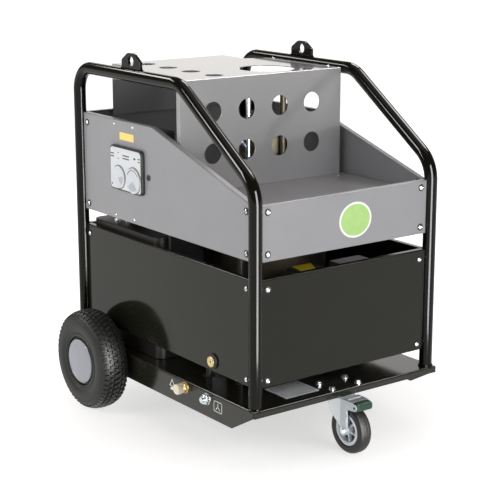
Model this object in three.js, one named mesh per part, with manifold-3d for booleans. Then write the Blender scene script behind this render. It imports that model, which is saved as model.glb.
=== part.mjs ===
// Wheeled hot-water module for a high-pressure cleaner: a fuel-fired boiler in a frame of two bent
// tubes, on two large rear wheels and one braked front caster.
// Millimetres, +Z up. The front is towards -Y, and the left side, with the controls, towards -X.
// The chassis is drawn about its own middle, and the whole group is then moved along Y, so that
// the origin lies on the floor under the middle of the part's box.
import * as THREE from "three";
import { mergeVertices } from "three/addons/utils/BufferGeometryUtils.js";
import Module from "manifold-3d";

const wasm = await Module();
wasm.setup();

// ---- Driving dimensions ----

const GAP = 0.3; // between pieces that touch
const SHEET = 2; // panel thickness
const LEFT = -1;
const RIGHT = 1;

// Frame of bent tube
const TUBE_R = 33.7 / 2;
const TUBE_WALL = 2.6;
const HOOP_X = 280; // plane of each hoop
const POST_Y = 400; // posts at plus and minus this
const KNEE_Z = 709;
const HOOP_TOP_Z = 919.4;
const SLOPE_TOP_Y = -92;
const KNEE_BEND = 90;
const REAR_BEND = 63;

// Base tray
const DECK_TOP = 167;
const DECK_SHEET = 3;
const DECK_X = 299;
const DECK_Y = 421;
const LIP_Z = 150; // lower edge of the front and rear lips
const SKIRT_Z = 100; // lower edge of the side skirts
const SKIRT_Y = 329; // where the skirts' slanted ends begin

// Panels between the posts
const PANEL_Y = 382; // half length of the side panels
const PANEL_X = 263; // half width of the front and rear panels
const UPPER_Z0 = 527;
const UPPER_Z1 = 796;
const LOWER_Z0 = 215;
const LOWER_Z1 = 484.5;
const FRONT_Z1 = 666; // top of the front upper panel, and of the side panels' front end
const SLOPE_Y = 41.5; // where the side panels' top edge starts to fall
const RETURN = 16; // depth of the folded edges
const TAB_HALF = 12;
const TAB_LONG = 33;
const SIDE_TABS_FRONT = [648, 545.5, 459.5, 232];
const SIDE_TABS_REAR = [770, 545.5, 459.5, 232];

// Storage tray and upper cover
const TRAY_Z = 633;
const TRAY_X = 272;
const COVER_Y0 = -61.4;
const COVER_Y1 = 384;
const COVER_X = 261;
const COVER_BACK_X = 186;
const COVER_Z = 922;
const COVER_STEP_Y = [240, 270]; // where the top narrows
const HOLE_PITCH = 107.2;
const HOLE_R = 26.5;
const TOP_HOLE_R = 25;
const FLUE_HOLE_R = 75;
const COVER_TABS_Y = [-16, 227];

// Lifting eyes
const EYE_Y = 129.5;
const EYE_HALF = 44.5;
const EYE_TOP = 977;
const EYE_THICK = 8;

// Boiler and burner
const BOILER = { x: 83, y: 37, r: 165, wall: 3, z0: DECK_TOP + GAP, z1: 600 };
const FLUE_R = 72;
const FLUE_TOP_Z = 785;
const COIL = { r: 135, tube: 10.5, z0: 400, pitch: 28, turns: 6 };
const PORT = { y: 15, z: [220, 560], r: 12, x: -110 };
const BURNER = { x: 83, y: -265, z: 300, r: 85, half: 40, tubeZ: 290, tubeR: 45 };
const MOTOR = { r: 48, x0: -70, x1: 42.7 };

// Controls on the left upper panel
const CONTROL = { y: 154.5, z: 670, bezel: [156, 118], plate: [150, 113], front: -291 };
const POWER = { y: 186, z: 647, r: 30 };
const THERMOSTAT = { y: 114.5, z: 647, r: 34 };
const PLUG = { y: 57.5, z: 662.5, r: 8 };

// Service points on the left side
const DRAIN = { y: -225, z: 242 };
const INLET = { y: -128, z: 150 };
const OUTLET = { y: -225, z: 147 };
const HOSE_R = 8;

// Fuel tank
const TANK = { x: [-261, -100], y: [50, 380], z: [DECK_TOP + GAP, 500], wall: 5 };
const NECK = { x: -150, y: 330, r: 22, bore: 18, top: 530 };

// Rear wheels
const WHEEL = { y: 253, z: 137, r: 137, x0: 306, x1: 392, capR: 62, rimR: 66 };
const AXLE_R = 10;

// Caster
const CASTER = { y: -378, wheelY: -430, wheelR: 62.5, wheelHalf: 18, rimR: 41, topZ: 147 };
const BOLT = { x: 43, y: 25.5, r: 4 };
const LEG = { inner: 21.5, outer: 24.5 };
const BRAKE_PIVOT = { y: -471, z: 134 };

// Middle of the part's box along Y: the front caster tyre is the foremost point, the deck the last.
const SHIFT_Y = -(CASTER.wheelY - CASTER.wheelR + DECK_Y) / 2;

// ---- Closed solids, joined and cut ----

function solidOf(geometry) {
  const bare = geometry.index ? geometry.toNonIndexed() : geometry.clone();
  bare.deleteAttribute("normal");
  bare.deleteAttribute("uv");
  const merged = mergeVertices(bare, 1e-3);
  const triVerts = new Uint32Array(merged.index.array);
  const vertProperties = merged.attributes.position.array;
  const made = new wasm.Manifold(new wasm.Mesh({ numProp: 3, vertProperties, triVerts }));
  if (made.volume() >= 0) return made;
  for (let i = 0; i < triVerts.length; i += 3) {
    [triVerts[i + 1], triVerts[i + 2]] = [triVerts[i + 2], triVerts[i + 1]];
  }
  return new wasm.Manifold(new wasm.Mesh({ numProp: 3, vertProperties, triVerts }));
}

function geometryOf(solid) {
  const mesh = solid.getMesh();
  const geometry = new THREE.BufferGeometry();
  geometry.setAttribute("position", new THREE.BufferAttribute(new Float32Array(mesh.vertProperties), 3));
  geometry.setIndex(new THREE.BufferAttribute(new Uint32Array(mesh.triVerts), 1));
  return geometry;
}

function join(...geometries) {
  return geometryOf(geometries.map(solidOf).reduce((a, b) => a.add(b)));
}

function cut(base, ...tools) {
  return geometryOf(tools.map(solidOf).reduce((a, b) => a.subtract(b), solidOf(base)));
}

// ---- Simple shapes, placed in the chassis frame ----

function box([x0, x1], [y0, y1], [z0, z1]) {
  const shape = new THREE.BoxGeometry(x1 - x0, y1 - y0, z1 - z0);
  return shape.translate((x0 + x1) / 2, (y0 + y1) / 2, (z0 + z1) / 2);
}

function outline(points) {
  return new THREE.Shape(points.map(([a, b]) => new THREE.Vector2(a, b)));
}

function ring(a, b, r, sides) {
  const turn = (k) => (2 * Math.PI * k) / sides;
  const corners = Array.from({ length: sides }, (_, k) => turn(k));
  return corners.map((t) => [a + r * Math.cos(t), b + r * Math.sin(t)]);
}

function roundedRect(a, b, width, height, r, steps = 4) {
  const centres = [[1, 1], [-1, 1], [-1, -1], [1, -1]];
  return centres.flatMap(([sa, sb], corner) =>
    Array.from({ length: steps + 1 }, (_, k) => {
      const t = (Math.PI / 2) * (corner + k / steps);
      return [
        a + sa * (width / 2 - r) + r * Math.cos(t),
        b + sb * (height / 2 - r) + r * Math.sin(t),
      ];
    }),
  );
}

function extruded(points, depth, holes = []) {
  const shape = outline(points);
  shape.holes = holes.map(outline);
  return new THREE.ExtrudeGeometry(shape, { depth, bevelEnabled: false, curveSegments: 1 });
}

// An outline in (y, z), extruded from x0 to x1.
function prismX(points, [x0, x1], holes) {
  const turned = new THREE.Matrix4().set(0, 0, 1, x0, 1, 0, 0, 0, 0, 1, 0, 0, 0, 0, 0, 1);
  return extruded(points, x1 - x0, holes).applyMatrix4(turned);
}

// An outline in (x, z), extruded from y0 to y1.
function prismY(points, [y0, y1], holes) {
  const turned = new THREE.Matrix4().set(1, 0, 0, 0, 0, 0, -1, y1, 0, 1, 0, 0, 0, 0, 0, 1);
  return extruded(points, y1 - y0, holes).applyMatrix4(turned);
}

// An outline in (x, y), extruded from z0 to z1.
function prismZ(points, [z0, z1], holes) {
  return extruded(points, z1 - z0, holes).translate(0, 0, z0);
}

function rodX(y, z, r, x, sides = 20) {
  return prismX(ring(y, z, r, sides), x);
}

function rodY(x, z, r, y, sides = 20) {
  return prismY(ring(x, z, r, sides), y);
}

function rodZ(x, y, r, z, sides = 20) {
  return prismZ(ring(x, y, r, sides), z);
}

// A profile of [radius, distance along the axis], turned about a line along Z or X.
function lathe(profile, sides) {
  const closed = profile[0][0] > 0 ? [...profile, profile[0]] : profile;
  return new THREE.LatheGeometry(closed.map(([r, a]) => new THREE.Vector2(r, a)), sides);
}

function turnedZ(profile, x, y, sides = 24) {
  return lathe(profile, sides).rotateX(Math.PI / 2).translate(x, y, 0);
}

function turnedX(profile, y, z, sides = 24) {
  return lathe(profile, sides).rotateZ(-Math.PI / 2).translate(0, y, z);
}

// A line of straight runs and round bends, with a station at each end of every run and through the bends.
class BentLine extends THREE.Curve {
  constructor(corners, bends, steps) {
    super();
    const points = corners.map((c) => new THREE.Vector3(...c));
    const headings = points.slice(1).map((p, i) => p.clone().sub(points[i]).normalize());
    this.stations = [{ at: points[0], along: headings[0] }];
    bends.forEach((bend, i) => this.addBend(points[i + 1], headings[i], headings[i + 1], bend, steps));
    this.stations.push({ at: points.at(-1), along: headings.at(-1) });
  }
  addBend(corner, before, after, bend, steps) {
    const angle = before.angleTo(after);
    const inward = after.clone().addScaledVector(before, -before.dot(after)).normalize();
    const start = corner.clone().addScaledVector(before, -bend * Math.tan(angle / 2));
    for (let k = 0; k <= steps; k += 1) {
      const t = (angle * k) / steps;
      const at = start.clone().addScaledVector(before, bend * Math.sin(t));
      at.addScaledVector(inward, bend * (1 - Math.cos(t)));
      const along = before.clone().multiplyScalar(Math.cos(t)).addScaledVector(inward, Math.sin(t));
      this.stations.push({ at, along });
    }
  }
  station(t) {
    return this.stations[Math.round(t * (this.stations.length - 1))];
  }
  getPoint(t) {
    return this.station(t).at.clone();
  }
  getPointAt(t) {
    return this.getPoint(t);
  }
  getTangentAt(t) {
    return this.station(t).along.clone();
  }
}

function swept(line, steps, r, sides, bore = 0) {
  const shape = outline(ring(0, 0, r, sides));
  if (bore > 0) shape.holes = [outline(ring(0, 0, bore, sides))];
  return new THREE.ExtrudeGeometry(shape, { steps, extrudePath: line, bevelEnabled: false });
}

function bentTube(corners, bends, r, { sides = 10, bore = 0, steps = 3 } = {}) {
  const line = new BentLine(corners, bends, steps);
  return swept(line, line.stations.length - 1, r, sides, bore);
}

class Helix extends THREE.Curve {
  constructor({ x, y, r, z0, pitch, turns }) {
    super();
    Object.assign(this, { x, y, r, z0, pitch, turns });
  }
  getPoint(t) {
    const angle = 2 * Math.PI * this.turns * t;
    const z = this.z0 + this.pitch * this.turns * t;
    return new THREE.Vector3(this.x + this.r * Math.cos(angle), this.y + this.r * Math.sin(angle), z);
  }
}

// [x0, x1] on the left or right side, from two distances off the middle plane.
function across(side, a, b) {
  return [Math.min(side * a, side * b), Math.max(side * a, side * b)];
}

// ---- Materials ----

function finish(colour, roughness, metalness = 0) {
  return () => new THREE.MeshStandardMaterial({ color: colour, roughness, metalness });
}

const greyPaint = finish(0xa3a4a8, 0.45);
const coverPaint = finish(0xa8a9ac, 0.25);
const charcoalPaint = finish(0x3f3e3b, 0.5);
const blackGloss = finish(0x141410, 0.15);
const zinc = finish(0xc4ccd0, 0.35, 0.9);
const steel = finish(0x8b8d8f, 0.4, 0.8);
const brass = finish(0xc9a05a, 0.3, 0.9);
const rubber = finish(0x2a2a28, 0.8);
const blackPlastic = finish(0x1c1c1c, 0.5);
const whitePlastic = finish(0xe6e6e2, 0.4);
const greyPlastic = finish(0xaaadb6, 0.45);
const creamPlastic = finish(0xe4dcc0, 0.5);
const greenPlastic = finish(0x325a46, 0.5);
const heatedSteel = finish(0x55503f, 0.6, 0.6);
const castAluminium = finish(0x9a9c9e, 0.55, 0.7);
const tankPlastic = finish(0xd8d8cc, 0.5);

const part = new THREE.Group();
part.position.y = SHIFT_Y;

function add(name, geometry, material) {
  const mesh = new THREE.Mesh(join(geometry), material());
  mesh.name = name;
  part.add(mesh);
}

function sideName(side) {
  return side === LEFT ? "left" : "right";
}

// ---- Base tray ----

function skirtOutline() {
  return [
    [-DECK_Y, DECK_TOP], [-DECK_Y, LIP_Z], [-SKIRT_Y, SKIRT_Z],
    [SKIRT_Y, SKIRT_Z], [DECK_Y, LIP_Z], [DECK_Y, DECK_TOP],
  ];
}

function casterBoltPlaces() {
  return [[-1, -1], [1, -1], [-1, 1], [1, 1]].map(([a, b]) => [a * BOLT.x, CASTER.y + b * BOLT.y]);
}

function baseTray() {
  const deck = box([-DECK_X, DECK_X], [-DECK_Y, DECK_Y], [DECK_TOP - DECK_SHEET, DECK_TOP]);
  const lips = [-1, 1].map((end) => {
    const y = [end * DECK_Y, end * (DECK_Y - DECK_SHEET)].sort((a, b) => a - b);
    return box([-DECK_X, DECK_X], y, [LIP_Z, DECK_TOP]);
  });
  const skirtX = (side) => across(side, DECK_X - DECK_SHEET, DECK_X);
  const skirts = [LEFT, RIGHT].map((side) => prismX(skirtOutline(), skirtX(side)));
  const deckZ = [DECK_TOP - 2 * DECK_SHEET, DECK_TOP + DECK_SHEET];
  const leftWall = across(LEFT, DECK_X - 2 * DECK_SHEET, DECK_X + DECK_SHEET);
  return cut(
    join(deck, ...lips, ...skirts),
    ...casterBoltPlaces().map(([x, y]) => rodZ(x, y, BOLT.r + 0.6, deckZ, 8)),
    ...[[-225, INLET.y], [-195, OUTLET.y]].map(([x, y]) => rodZ(x, y, HOSE_R + 5, deckZ, 12)),
    ...[INLET, OUTLET].map(({ y, z }) => rodX(y, z, 10, leftWall, 16)),
    rodX(WHEEL.y, WHEEL.z, AXLE_R + 0.5, [-DECK_X - 1, DECK_X + 1], 20),
  );
}

function dataPlate() {
  return prismZ(roundedRect(-123, -343, 106, 90, 3, 2), [DECK_TOP + GAP, DECK_TOP + GAP + 1]);
}

// ---- Frame hoops, with the tabs that the panels are screwed to ----

function hoop(side) {
  const x = side * HOOP_X;
  const foot = DECK_TOP + GAP;
  const corners = [
    [x, -POST_Y, foot], [x, -POST_Y, KNEE_Z], [x, SLOPE_TOP_Y, HOOP_TOP_Z],
    [x, POST_Y, HOOP_TOP_Z], [x, POST_Y, foot],
  ];
  const tube = bentTube(corners, [KNEE_BEND, KNEE_BEND, REAR_BEND], TUBE_R, { bore: TUBE_R - TUBE_WALL });
  const tabThick = 3;
  const inWall = TUBE_R - 1.6;
  const behind = SHEET + GAP;
  const tabs = [[-1, SIDE_TABS_FRONT], [1, SIDE_TABS_REAR]].flatMap(([end, heights]) =>
    heights.flatMap((z) => {
      const tall = [z - TAB_HALF, z + TAB_HALF];
      const y = [end * (POST_Y - inWall), end * (POST_Y - TUBE_R - TAB_LONG)].sort((a, b) => a - b);
      const sideTab = box(across(side, HOOP_X - behind, HOOP_X - behind - tabThick), y, tall);
      const yEnd = [end * (POST_Y - GAP), end * (POST_Y - GAP - tabThick)].sort((a, b) => a - b);
      const endTab = box(across(side, HOOP_X - inWall, HOOP_X - TUBE_R - TAB_LONG + 4), yEnd, tall);
      return [sideTab, endTab];
    }),
  );
  const coverZ = [COVER_Z - behind - tabThick, COVER_Z - behind];
  const coverTabX = across(side, HOOP_X - inWall, 244);
  const coverTabs = COVER_TABS_Y.map((y) => box(coverTabX, [y - 12, y + 12], coverZ));
  return join(tube, ...tabs, ...coverTabs);
}

function liftingEye(side) {
  const low = HOOP_TOP_Z + TUBE_R + GAP;
  const chamfer = EYE_TOP - 19;
  const top = EYE_HALF - 15;
  const profile = [
    [EYE_Y - EYE_HALF, low], [EYE_Y + EYE_HALF, low], [EYE_Y + EYE_HALF, chamfer],
    [EYE_Y + top, EYE_TOP], [EYE_Y - top, EYE_TOP], [EYE_Y - EYE_HALF, chamfer],
  ];
  const x = across(side, HOOP_X - EYE_THICK / 2, HOOP_X + EYE_THICK / 2);
  return prismX(profile, x, [ring(EYE_Y, 956, 13, 20)]);
}

// ---- Folded sheet panels ----

// Side panel: a flat outline in (y, z) with its upper and lower edges folded inwards.
function sidePanel(side, z0, upperEdge, holes = []) {
  const flat = [[-PANEL_Y, z0], [PANEL_Y, z0], ...upperEdge];
  const skin = prismX(flat, across(side, HOOP_X - SHEET, HOOP_X), holes);
  const fold = across(side, HOOP_X - RETURN, HOOP_X - SHEET / 2);
  const edges = [...upperEdge.keys()].slice(1).map((i) => {
    const [[ya, za], [yb, zb]] = [upperEdge[i - 1], upperEdge[i]];
    return prismX([[ya, za], [yb, zb], [yb, zb - SHEET], [ya, za - SHEET]], fold);
  });
  const foot = box(fold, [-PANEL_Y, PANEL_Y], [z0, z0 + SHEET]);
  return join(skin, ...edges, foot);
}

function upperSidePanel(side) {
  const top = [[PANEL_Y, UPPER_Z1], [SLOPE_Y, UPPER_Z1], [-PANEL_Y, FRONT_Z1]];
  const holes = side === LEFT ? [ring(CONTROL.y, CONTROL.z, 40, 16), ring(PLUG.y, PLUG.z, 6.4, 12)] : [];
  return sidePanel(side, UPPER_Z0, top, holes);
}

function lowerSidePanel(side) {
  const top = [[PANEL_Y, LOWER_Z1], [-PANEL_Y, LOWER_Z1]];
  const holes = side === LEFT ? [ring(DRAIN.y, DRAIN.z, 16.7, 20)] : [];
  return sidePanel(side, LOWER_Z0, top, holes);
}

// Front (end -1) or rear (end 1) panel, with its upper and lower edges folded inwards.
function endPanel(end, z0, z1) {
  const between = (a, b) => [end * a, end * b].sort((p, q) => p - q);
  const outer = POST_Y + SHEET;
  const skin = box([-PANEL_X, PANEL_X], between(POST_Y, outer), [z0, z1]);
  const fold = between(outer - RETURN, outer - SHEET / 2);
  const foldX = [-PANEL_X, PANEL_X];
  return join(skin, box(foldX, fold, [z1 - SHEET, z1]), box(foldX, fold, [z0, z0 + SHEET]));
}

// Floor sheet with its edges folded down, notched at the front round the posts.
function storageTray() {
  const [front, notch, back] = [-394, -381, -50];
  const narrow = TRAY_X - 11;
  const floor = [
    [-narrow, front], [narrow, front], [narrow, notch], [TRAY_X, notch],
    [TRAY_X, back], [-TRAY_X, back], [-TRAY_X, notch], [-narrow, notch],
  ];
  const z = [TRAY_Z - RETURN, TRAY_Z - SHEET / 2];
  const sides = [LEFT, RIGHT].map((side) => box(across(side, TRAY_X - SHEET, TRAY_X), [notch, back], z));
  return join(
    prismZ(floor, [TRAY_Z - SHEET, TRAY_Z]),
    box([-narrow, narrow], [front, front + SHEET], z),
    box([-TRAY_X, TRAY_X], [back - SHEET, back], z),
    ...sides,
  );
}

function upperCover() {
  const columns = [-1.5, -0.5, 0.5, 1.5].map((k) => 0.4 + k * HOLE_PITCH);
  const faceHoles = [836.5, 730].flatMap((z) => columns.map((x) => ring(x, z, HOLE_R, 12)));
  const z0 = TRAY_Z + GAP;
  const face = [[-COVER_X, z0], [COVER_X, z0], [COVER_X, COVER_Z], [-COVER_X, COVER_Z]];
  const front = prismY(face, [COVER_Y0, COVER_Y0 + SHEET], faceHoles);
  const returns = [LEFT, RIGHT].map((side) =>
    box(across(side, COVER_X - SHEET, COVER_X), [COVER_Y0, COVER_Y0 + RETURN], [z0, COVER_Z - SHEET / 2]),
  );
  const [stepA, stepB] = COVER_STEP_Y;
  const top = [
    [-COVER_X, COVER_Y0], [COVER_X, COVER_Y0], [COVER_X, stepA], [COVER_BACK_X, stepB],
    [COVER_BACK_X, COVER_Y1], [-COVER_BACK_X, COVER_Y1], [-COVER_BACK_X, stepB], [-COVER_X, stepA],
  ];
  const topHoles = [0, 1, 2, 3].map((k) => ring(-118, -8 + k * HOLE_PITCH, TOP_HOLE_R, 12));
  topHoles.push(ring(BOILER.x, BOILER.y, FLUE_HOLE_R, 20));
  const lid = prismZ(top, [COVER_Z - SHEET, COVER_Z], topHoles);
  const backX = [-COVER_BACK_X, COVER_BACK_X];
  const back = box(backX, [COVER_Y1 - SHEET, COVER_Y1], [UPPER_Z1 - RETURN, COVER_Z - SHEET / 2]);
  const wings = [LEFT, RIGHT].map((side) =>
    box(
      across(side, COVER_BACK_X - SHEET, COVER_BACK_X),
      [stepB + SHEET, COVER_Y1],
      [COVER_Z - 14, COVER_Z - SHEET / 2],
    ),
  );
  return join(front, ...returns, lid, back, ...wings);
}

// ---- Controls ----

function electricalBox() {
  return prismX(roundedRect(154, 660, 172, 230, 8, 2), [-277.7, -190]);
}

// A rounded slab on the left panel with a hole for each knob's shaft.
function controlSlab([width, height], corner, x) {
  const holes = [POWER, THERMOSTAT].map((knob) => ring(knob.y, knob.z, 6, 12));
  return prismX(roundedRect(CONTROL.y, CONTROL.z, width, height, corner, 3), x, holes);
}

// A flat round dial with a raised finger bar and its shaft.
function knob({ y, z, r }) {
  const back = CONTROL.front - GAP;
  const face = back - 4;
  const dial = turnedX([[0, face], [r - 2, face], [r, face + 2], [r, back], [0, back]], y, z, 28);
  const bar = prismX(roundedRect(y, z, 9, 2 * r - 12, 4, 2), [face - 5, face + 1]);
  return join(dial, bar, rodX(y, z, 5, [back - 1, -281], 12));
}

function panelPlug() {
  const { y, z, r } = PLUG;
  const face = -HOOP_X - GAP;
  const profile = [
    [0, face - 3], [r - 1.5, face - 3], [r, face - 1.5], [r, face], [6, face], [6, -274], [0, -274],
  ];
  return turnedX(profile, y, z, 16);
}

// ---- Service points ----

function drainGrommet() {
  const profile = [
    [12.3, -286], [18.5, -286], [20, -284.5], [20, -280.3], [16.4, -280.3],
    [16.4, -277.7], [18.5, -277.7], [18.5, -273.5], [12.3, -273.5],
  ];
  return turnedX(profile, DRAIN.y, DRAIN.z, 16);
}

function drainPlug() {
  const profile = [
    [0, -288], [3.2, -288], [3.2, -292], [12.5, -292], [14, -290.5],
    [14, -286.3], [12, -286.3], [12, -270], [0, -270],
  ];
  return turnedX(profile, DRAIN.y, DRAIN.z, 16);
}

// A bulkhead fitting through the left skirt: outer hexagon and spigot, shank, lock nut and hose tail.
function bulkheadFitting({ y, z }, spigotX, spigotR) {
  const outer = -DECK_X - GAP;
  const inner = -DECK_X + DECK_SHEET + GAP;
  return join(
    rodX(y, z, 14, [outer - 9, outer], 6),
    rodX(y, z, spigotR, [spigotX, outer - 8], 14),
    rodX(y, z, 9.6, [outer - 1, -280], 14),
    rodX(y, z, 13, [inner, inner + 8], 6),
    rodX(y, z, HOSE_R - 1.5, [-281, -262], 8),
  );
}

function inletCap() {
  const profile = [
    [0, -329], [12.5, -329], [14, -327.5], [14, -313], [11.4, -313], [11.4, -325.3], [0, -325.3],
  ];
  return turnedX(profile, INLET.y, INLET.z, 16);
}

function waterHose(from, x, portZ) {
  const corners = [
    [-261.7, from.y, from.z], [x, from.y, from.z], [x, from.y, portZ],
    [x, PORT.y, portZ], [PORT.x - GAP, PORT.y, portZ],
  ];
  return bentTube(corners, [20, 28, 28], HOSE_R, { sides: 8, steps: 3 });
}

// ---- Boiler ----

function boilerCasing() {
  const { x, y, r, wall, z0, z1 } = BOILER;
  const inner = r - wall;
  const profile = [
    [0, z0], [r, z0], [r, z1], [FLUE_R, z1], [FLUE_R, z1 - wall],
    [inner, z1 - wall], [inner, z0 + wall], [0, z0 + wall],
  ];
  const shell = turnedZ(profile, x, y);
  const ports = PORT.z.map((z) => rodX(PORT.y, z, PORT.r, [PORT.x, x - inner + 6], 12));
  const burnerHole = rodY(x, BURNER.tubeZ, BURNER.tubeR + 1, [y - r - 10, y - r + 40], 24);
  return cut(join(shell, ...ports), burnerHole);
}

function fluePipe() {
  const low = BOILER.z1 + GAP;
  const profile = [
    [FLUE_R - 3, low], [FLUE_R + 14, low], [FLUE_R + 14, low + 4], [FLUE_R + 1, low + 12],
    [FLUE_R + 1, FLUE_TOP_Z], [FLUE_R - 2, FLUE_TOP_Z], [FLUE_R - 2, low + 10],
  ];
  return turnedZ(profile, BOILER.x, BOILER.y, 24);
}

function heatingCoil() {
  const line = new Helix({ x: BOILER.x, y: BOILER.y, ...COIL });
  return swept(line, COIL.turns * 12, COIL.tube, 6);
}

// ---- Burner ----

function burnerHousing() {
  const { x, y, z, r, half, tubeZ, tubeR } = BURNER;
  const wide = [x - half, x + half];
  const inside = [x - half + 4, x + half - 4];
  const throat = [y, y + r + 3];
  return cut(
    join(rodX(y, z, r, wide, 24), box(wide, throat, [tubeZ - 55, tubeZ + 55])),
    rodX(y, z, r - 4, inside, 24),
    rodX(y, z, 45, [x + half - 6, x + half + 1], 16),
    rodX(y, z, 9, [x - half - 1, x - half + 6], 12),
    rodY(x, tubeZ, tubeR - 12, [y, y + r + 4], 16),
  );
}

function blastTube() {
  const { x, y, tubeZ, tubeR } = BURNER;
  const start = y + BURNER.r + 3 + GAP;
  const flange = [BOILER.y - BOILER.r - 8, BOILER.y - BOILER.r - 2];
  const tube = rodY(x, tubeZ, tubeR, [start, BOILER.y - BOILER.r + 12], 20);
  return cut(join(tube, rodY(x, tubeZ, 62, flange, 20)), rodY(x, tubeZ, tubeR - 3, [start - 1, -90], 20));
}

// Drum fan on the motor's shaft.
function blowerFan() {
  const { x, y, z } = BURNER;
  const profile = [[0, x - 28], [66, x - 28], [66, x + 28], [54, x + 28], [54, x - 22], [0, x - 22]];
  return join(turnedX(profile, y, z, 20), rodX(y, z, 8, [MOTOR.x1 + GAP, x - 24], 12));
}

function burnerMotor() {
  const { y, z } = BURNER;
  const { x0, x1, r } = MOTOR;
  const body = turnedX([[0, x0], [r - 6, x0], [r, x0 + 8], [r, x1], [0, x1]], y, z);
  return join(body, box([-60, 30], [y - 20, y + 20], [z + 40, z + 54]));
}

function fuelPump() {
  const { y, z } = BURNER;
  const end = MOTOR.x0 - GAP;
  const body = rodX(y, z, 27, [end - 44, end], 20);
  const valve = box([end - 36, end - 12], [y - 12, y + 12], [z + 20, z + 38]);
  return join(body, valve, rodX(y, z, 12, [end - 54, end - 40], 6));
}

function ignitionTransformer() {
  const base = BURNER.z + 54 + GAP;
  return prismZ(roundedRect(-15, BURNER.y, 88, 76, 6, 2), [base, base + 96]);
}

function burnerControl() {
  const base = BURNER.z + BURNER.r + GAP;
  return prismZ(roundedRect(135, BURNER.y, 110, 70, 5, 2), [base, base + 62]);
}

// ---- Fuel system ----

function fuelTank() {
  const { x, y, z, wall } = TANK;
  const middle = [(x[0] + x[1]) / 2, (y[0] + y[1]) / 2];
  const size = [x[1] - x[0], y[1] - y[0]];
  const outer = prismZ(roundedRect(...middle, ...size, 22, 3), z);
  const room = size.map((s) => s - 2 * wall);
  const inner = prismZ(roundedRect(...middle, ...room, 17, 3), [z[0] + wall, z[1] - wall]);
  const neck = rodZ(NECK.x, NECK.y, NECK.r, [z[1] - 2, NECK.top]);
  return cut(join(outer, neck), inner, rodZ(NECK.x, NECK.y, NECK.bore, [z[1] - 2 * wall, NECK.top + 1]));
}

function fuelCap() {
  const low = TANK.z[1] + 3;
  const top = NECK.top + 8;
  const profile = [
    [NECK.r + 0.4, low], [NECK.r + 5, low], [NECK.r + 5, top - 2], [NECK.r + 3, top],
    [0, top], [0, NECK.top + GAP], [NECK.r + 0.4, NECK.top + GAP],
  ];
  return turnedZ(profile, NECK.x, NECK.y, 20);
}

function fuelFilter() {
  const profile = [
    [0, DECK_TOP + GAP], [16, DECK_TOP + GAP], [16, 195], [24, 200], [24, 262],
    [19, 268], [9, 268], [9, 280], [0, 280],
  ];
  return turnedZ(profile, -150, -60, 20);
}

// ---- Rear axle and wheels ----

function tyre(side) {
  const { y, z, r, x0, x1, rimR } = WHEEL;
  const bore = rimR + 2 * GAP;
  const profile = [
    [bore, x0 + 6], [bore + 28, x0], [r - 14, x0 + 5], [r, x0 + 26],
    [r, x1 - 26], [r - 14, x1 - 5], [bore + 28, x1], [bore, x1 - 6],
  ].map(([a, b]) => [a, side * b]);
  return turnedX(profile, y, z, 32);
}

function rim(side) {
  const { y, z, x0, x1, rimR } = WHEEL;
  const middle = (x0 + x1) / 2;
  const hub = AXLE_R + GAP;
  const profile = [
    [hub, x0], [22, x0], [22, middle - 4], [rimR - 6, middle - 4], [rimR - 6, x0 + 8], [rimR, x0 + 8],
    [rimR, x1 - 8], [rimR - 6, x1 - 8], [rimR - 6, middle + 4], [hub, middle + 4],
  ].map(([a, b]) => [a, side * b]);
  return turnedX(profile, y, z, 20);
}

function wheelCap(side) {
  const { y, z, x1, capR, rimR } = WHEEL;
  const profile = [
    [0, x1 - 0.2], [capR - 2, x1 - 3], [capR, x1 - 5], [capR, x1 - 7.7],
    [rimR - 7, x1 - 7.7], [rimR - 7, x1 - 14], [rimR - 10, x1 - 14], [rimR - 10, x1 - 7], [0, x1 - 4],
  ].map(([a, b]) => [a, side * b]);
  return turnedX(profile, y, z, 20);
}

function rearAxle() {
  const end = WHEEL.x1 - 14;
  return rodX(WHEEL.y, WHEEL.z, AXLE_R, [-end, end], 20);
}

// ---- Caster ----

function casterPlate() {
  const top = DECK_TOP - DECK_SHEET - GAP;
  const plateY = [CASTER.y - BOLT.y - 13, CASTER.y + BOLT.y + 13];
  const plate = box([-BOLT.x - 10, BOLT.x + 10], plateY, [top - 4, top]);
  const raceZ = CASTER.topZ + 1;
  const race = turnedZ([[0, raceZ], [22, raceZ], [34, top - 3], [0, top - 3]], 0, CASTER.y, 20);
  const pin = rodZ(0, CASTER.y, 7, [CASTER.topZ - 9, top - 2], 16);
  const boltHoles = casterBoltPlaces().map(([x, y]) => rodZ(x, y, BOLT.r + 0.6, [top - 5, top + 1], 8));
  return cut(join(plate, race, pin), ...boltHoles);
}

// A hexagon head on the deck, its shank and the nut under the plate.
function casterBolt([x, y]) {
  const under = DECK_TOP - DECK_SHEET - GAP - 4 - GAP;
  return join(
    rodZ(x, y, 10, [DECK_TOP + GAP, DECK_TOP + 2], 12),
    rodZ(x, y, 7.5, [DECK_TOP + 1.5, DECK_TOP + 8], 6),
    rodZ(x, y, BOLT.r, [under - 8, DECK_TOP + 3], 8),
    rodZ(x, y, 7.5, [under - 6, under], 6),
  );
}

function forkLeg(side) {
  const { wheelY, wheelR, topZ } = CASTER;
  const boss = rodX(wheelY, wheelR, 12, across(side, LEG.inner, LEG.outer), 20);
  const rear = CASTER.y + 26;
  const blade = [
    [wheelY - 10, topZ], [wheelY - 11, wheelR], [wheelY, wheelR - 12], [wheelY + 8, wheelR - 9],
    [rear, 80], [rear, topZ],
  ];
  return join(prismX(blade, across(side, LEG.inner, LEG.outer)), boss);
}

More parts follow.
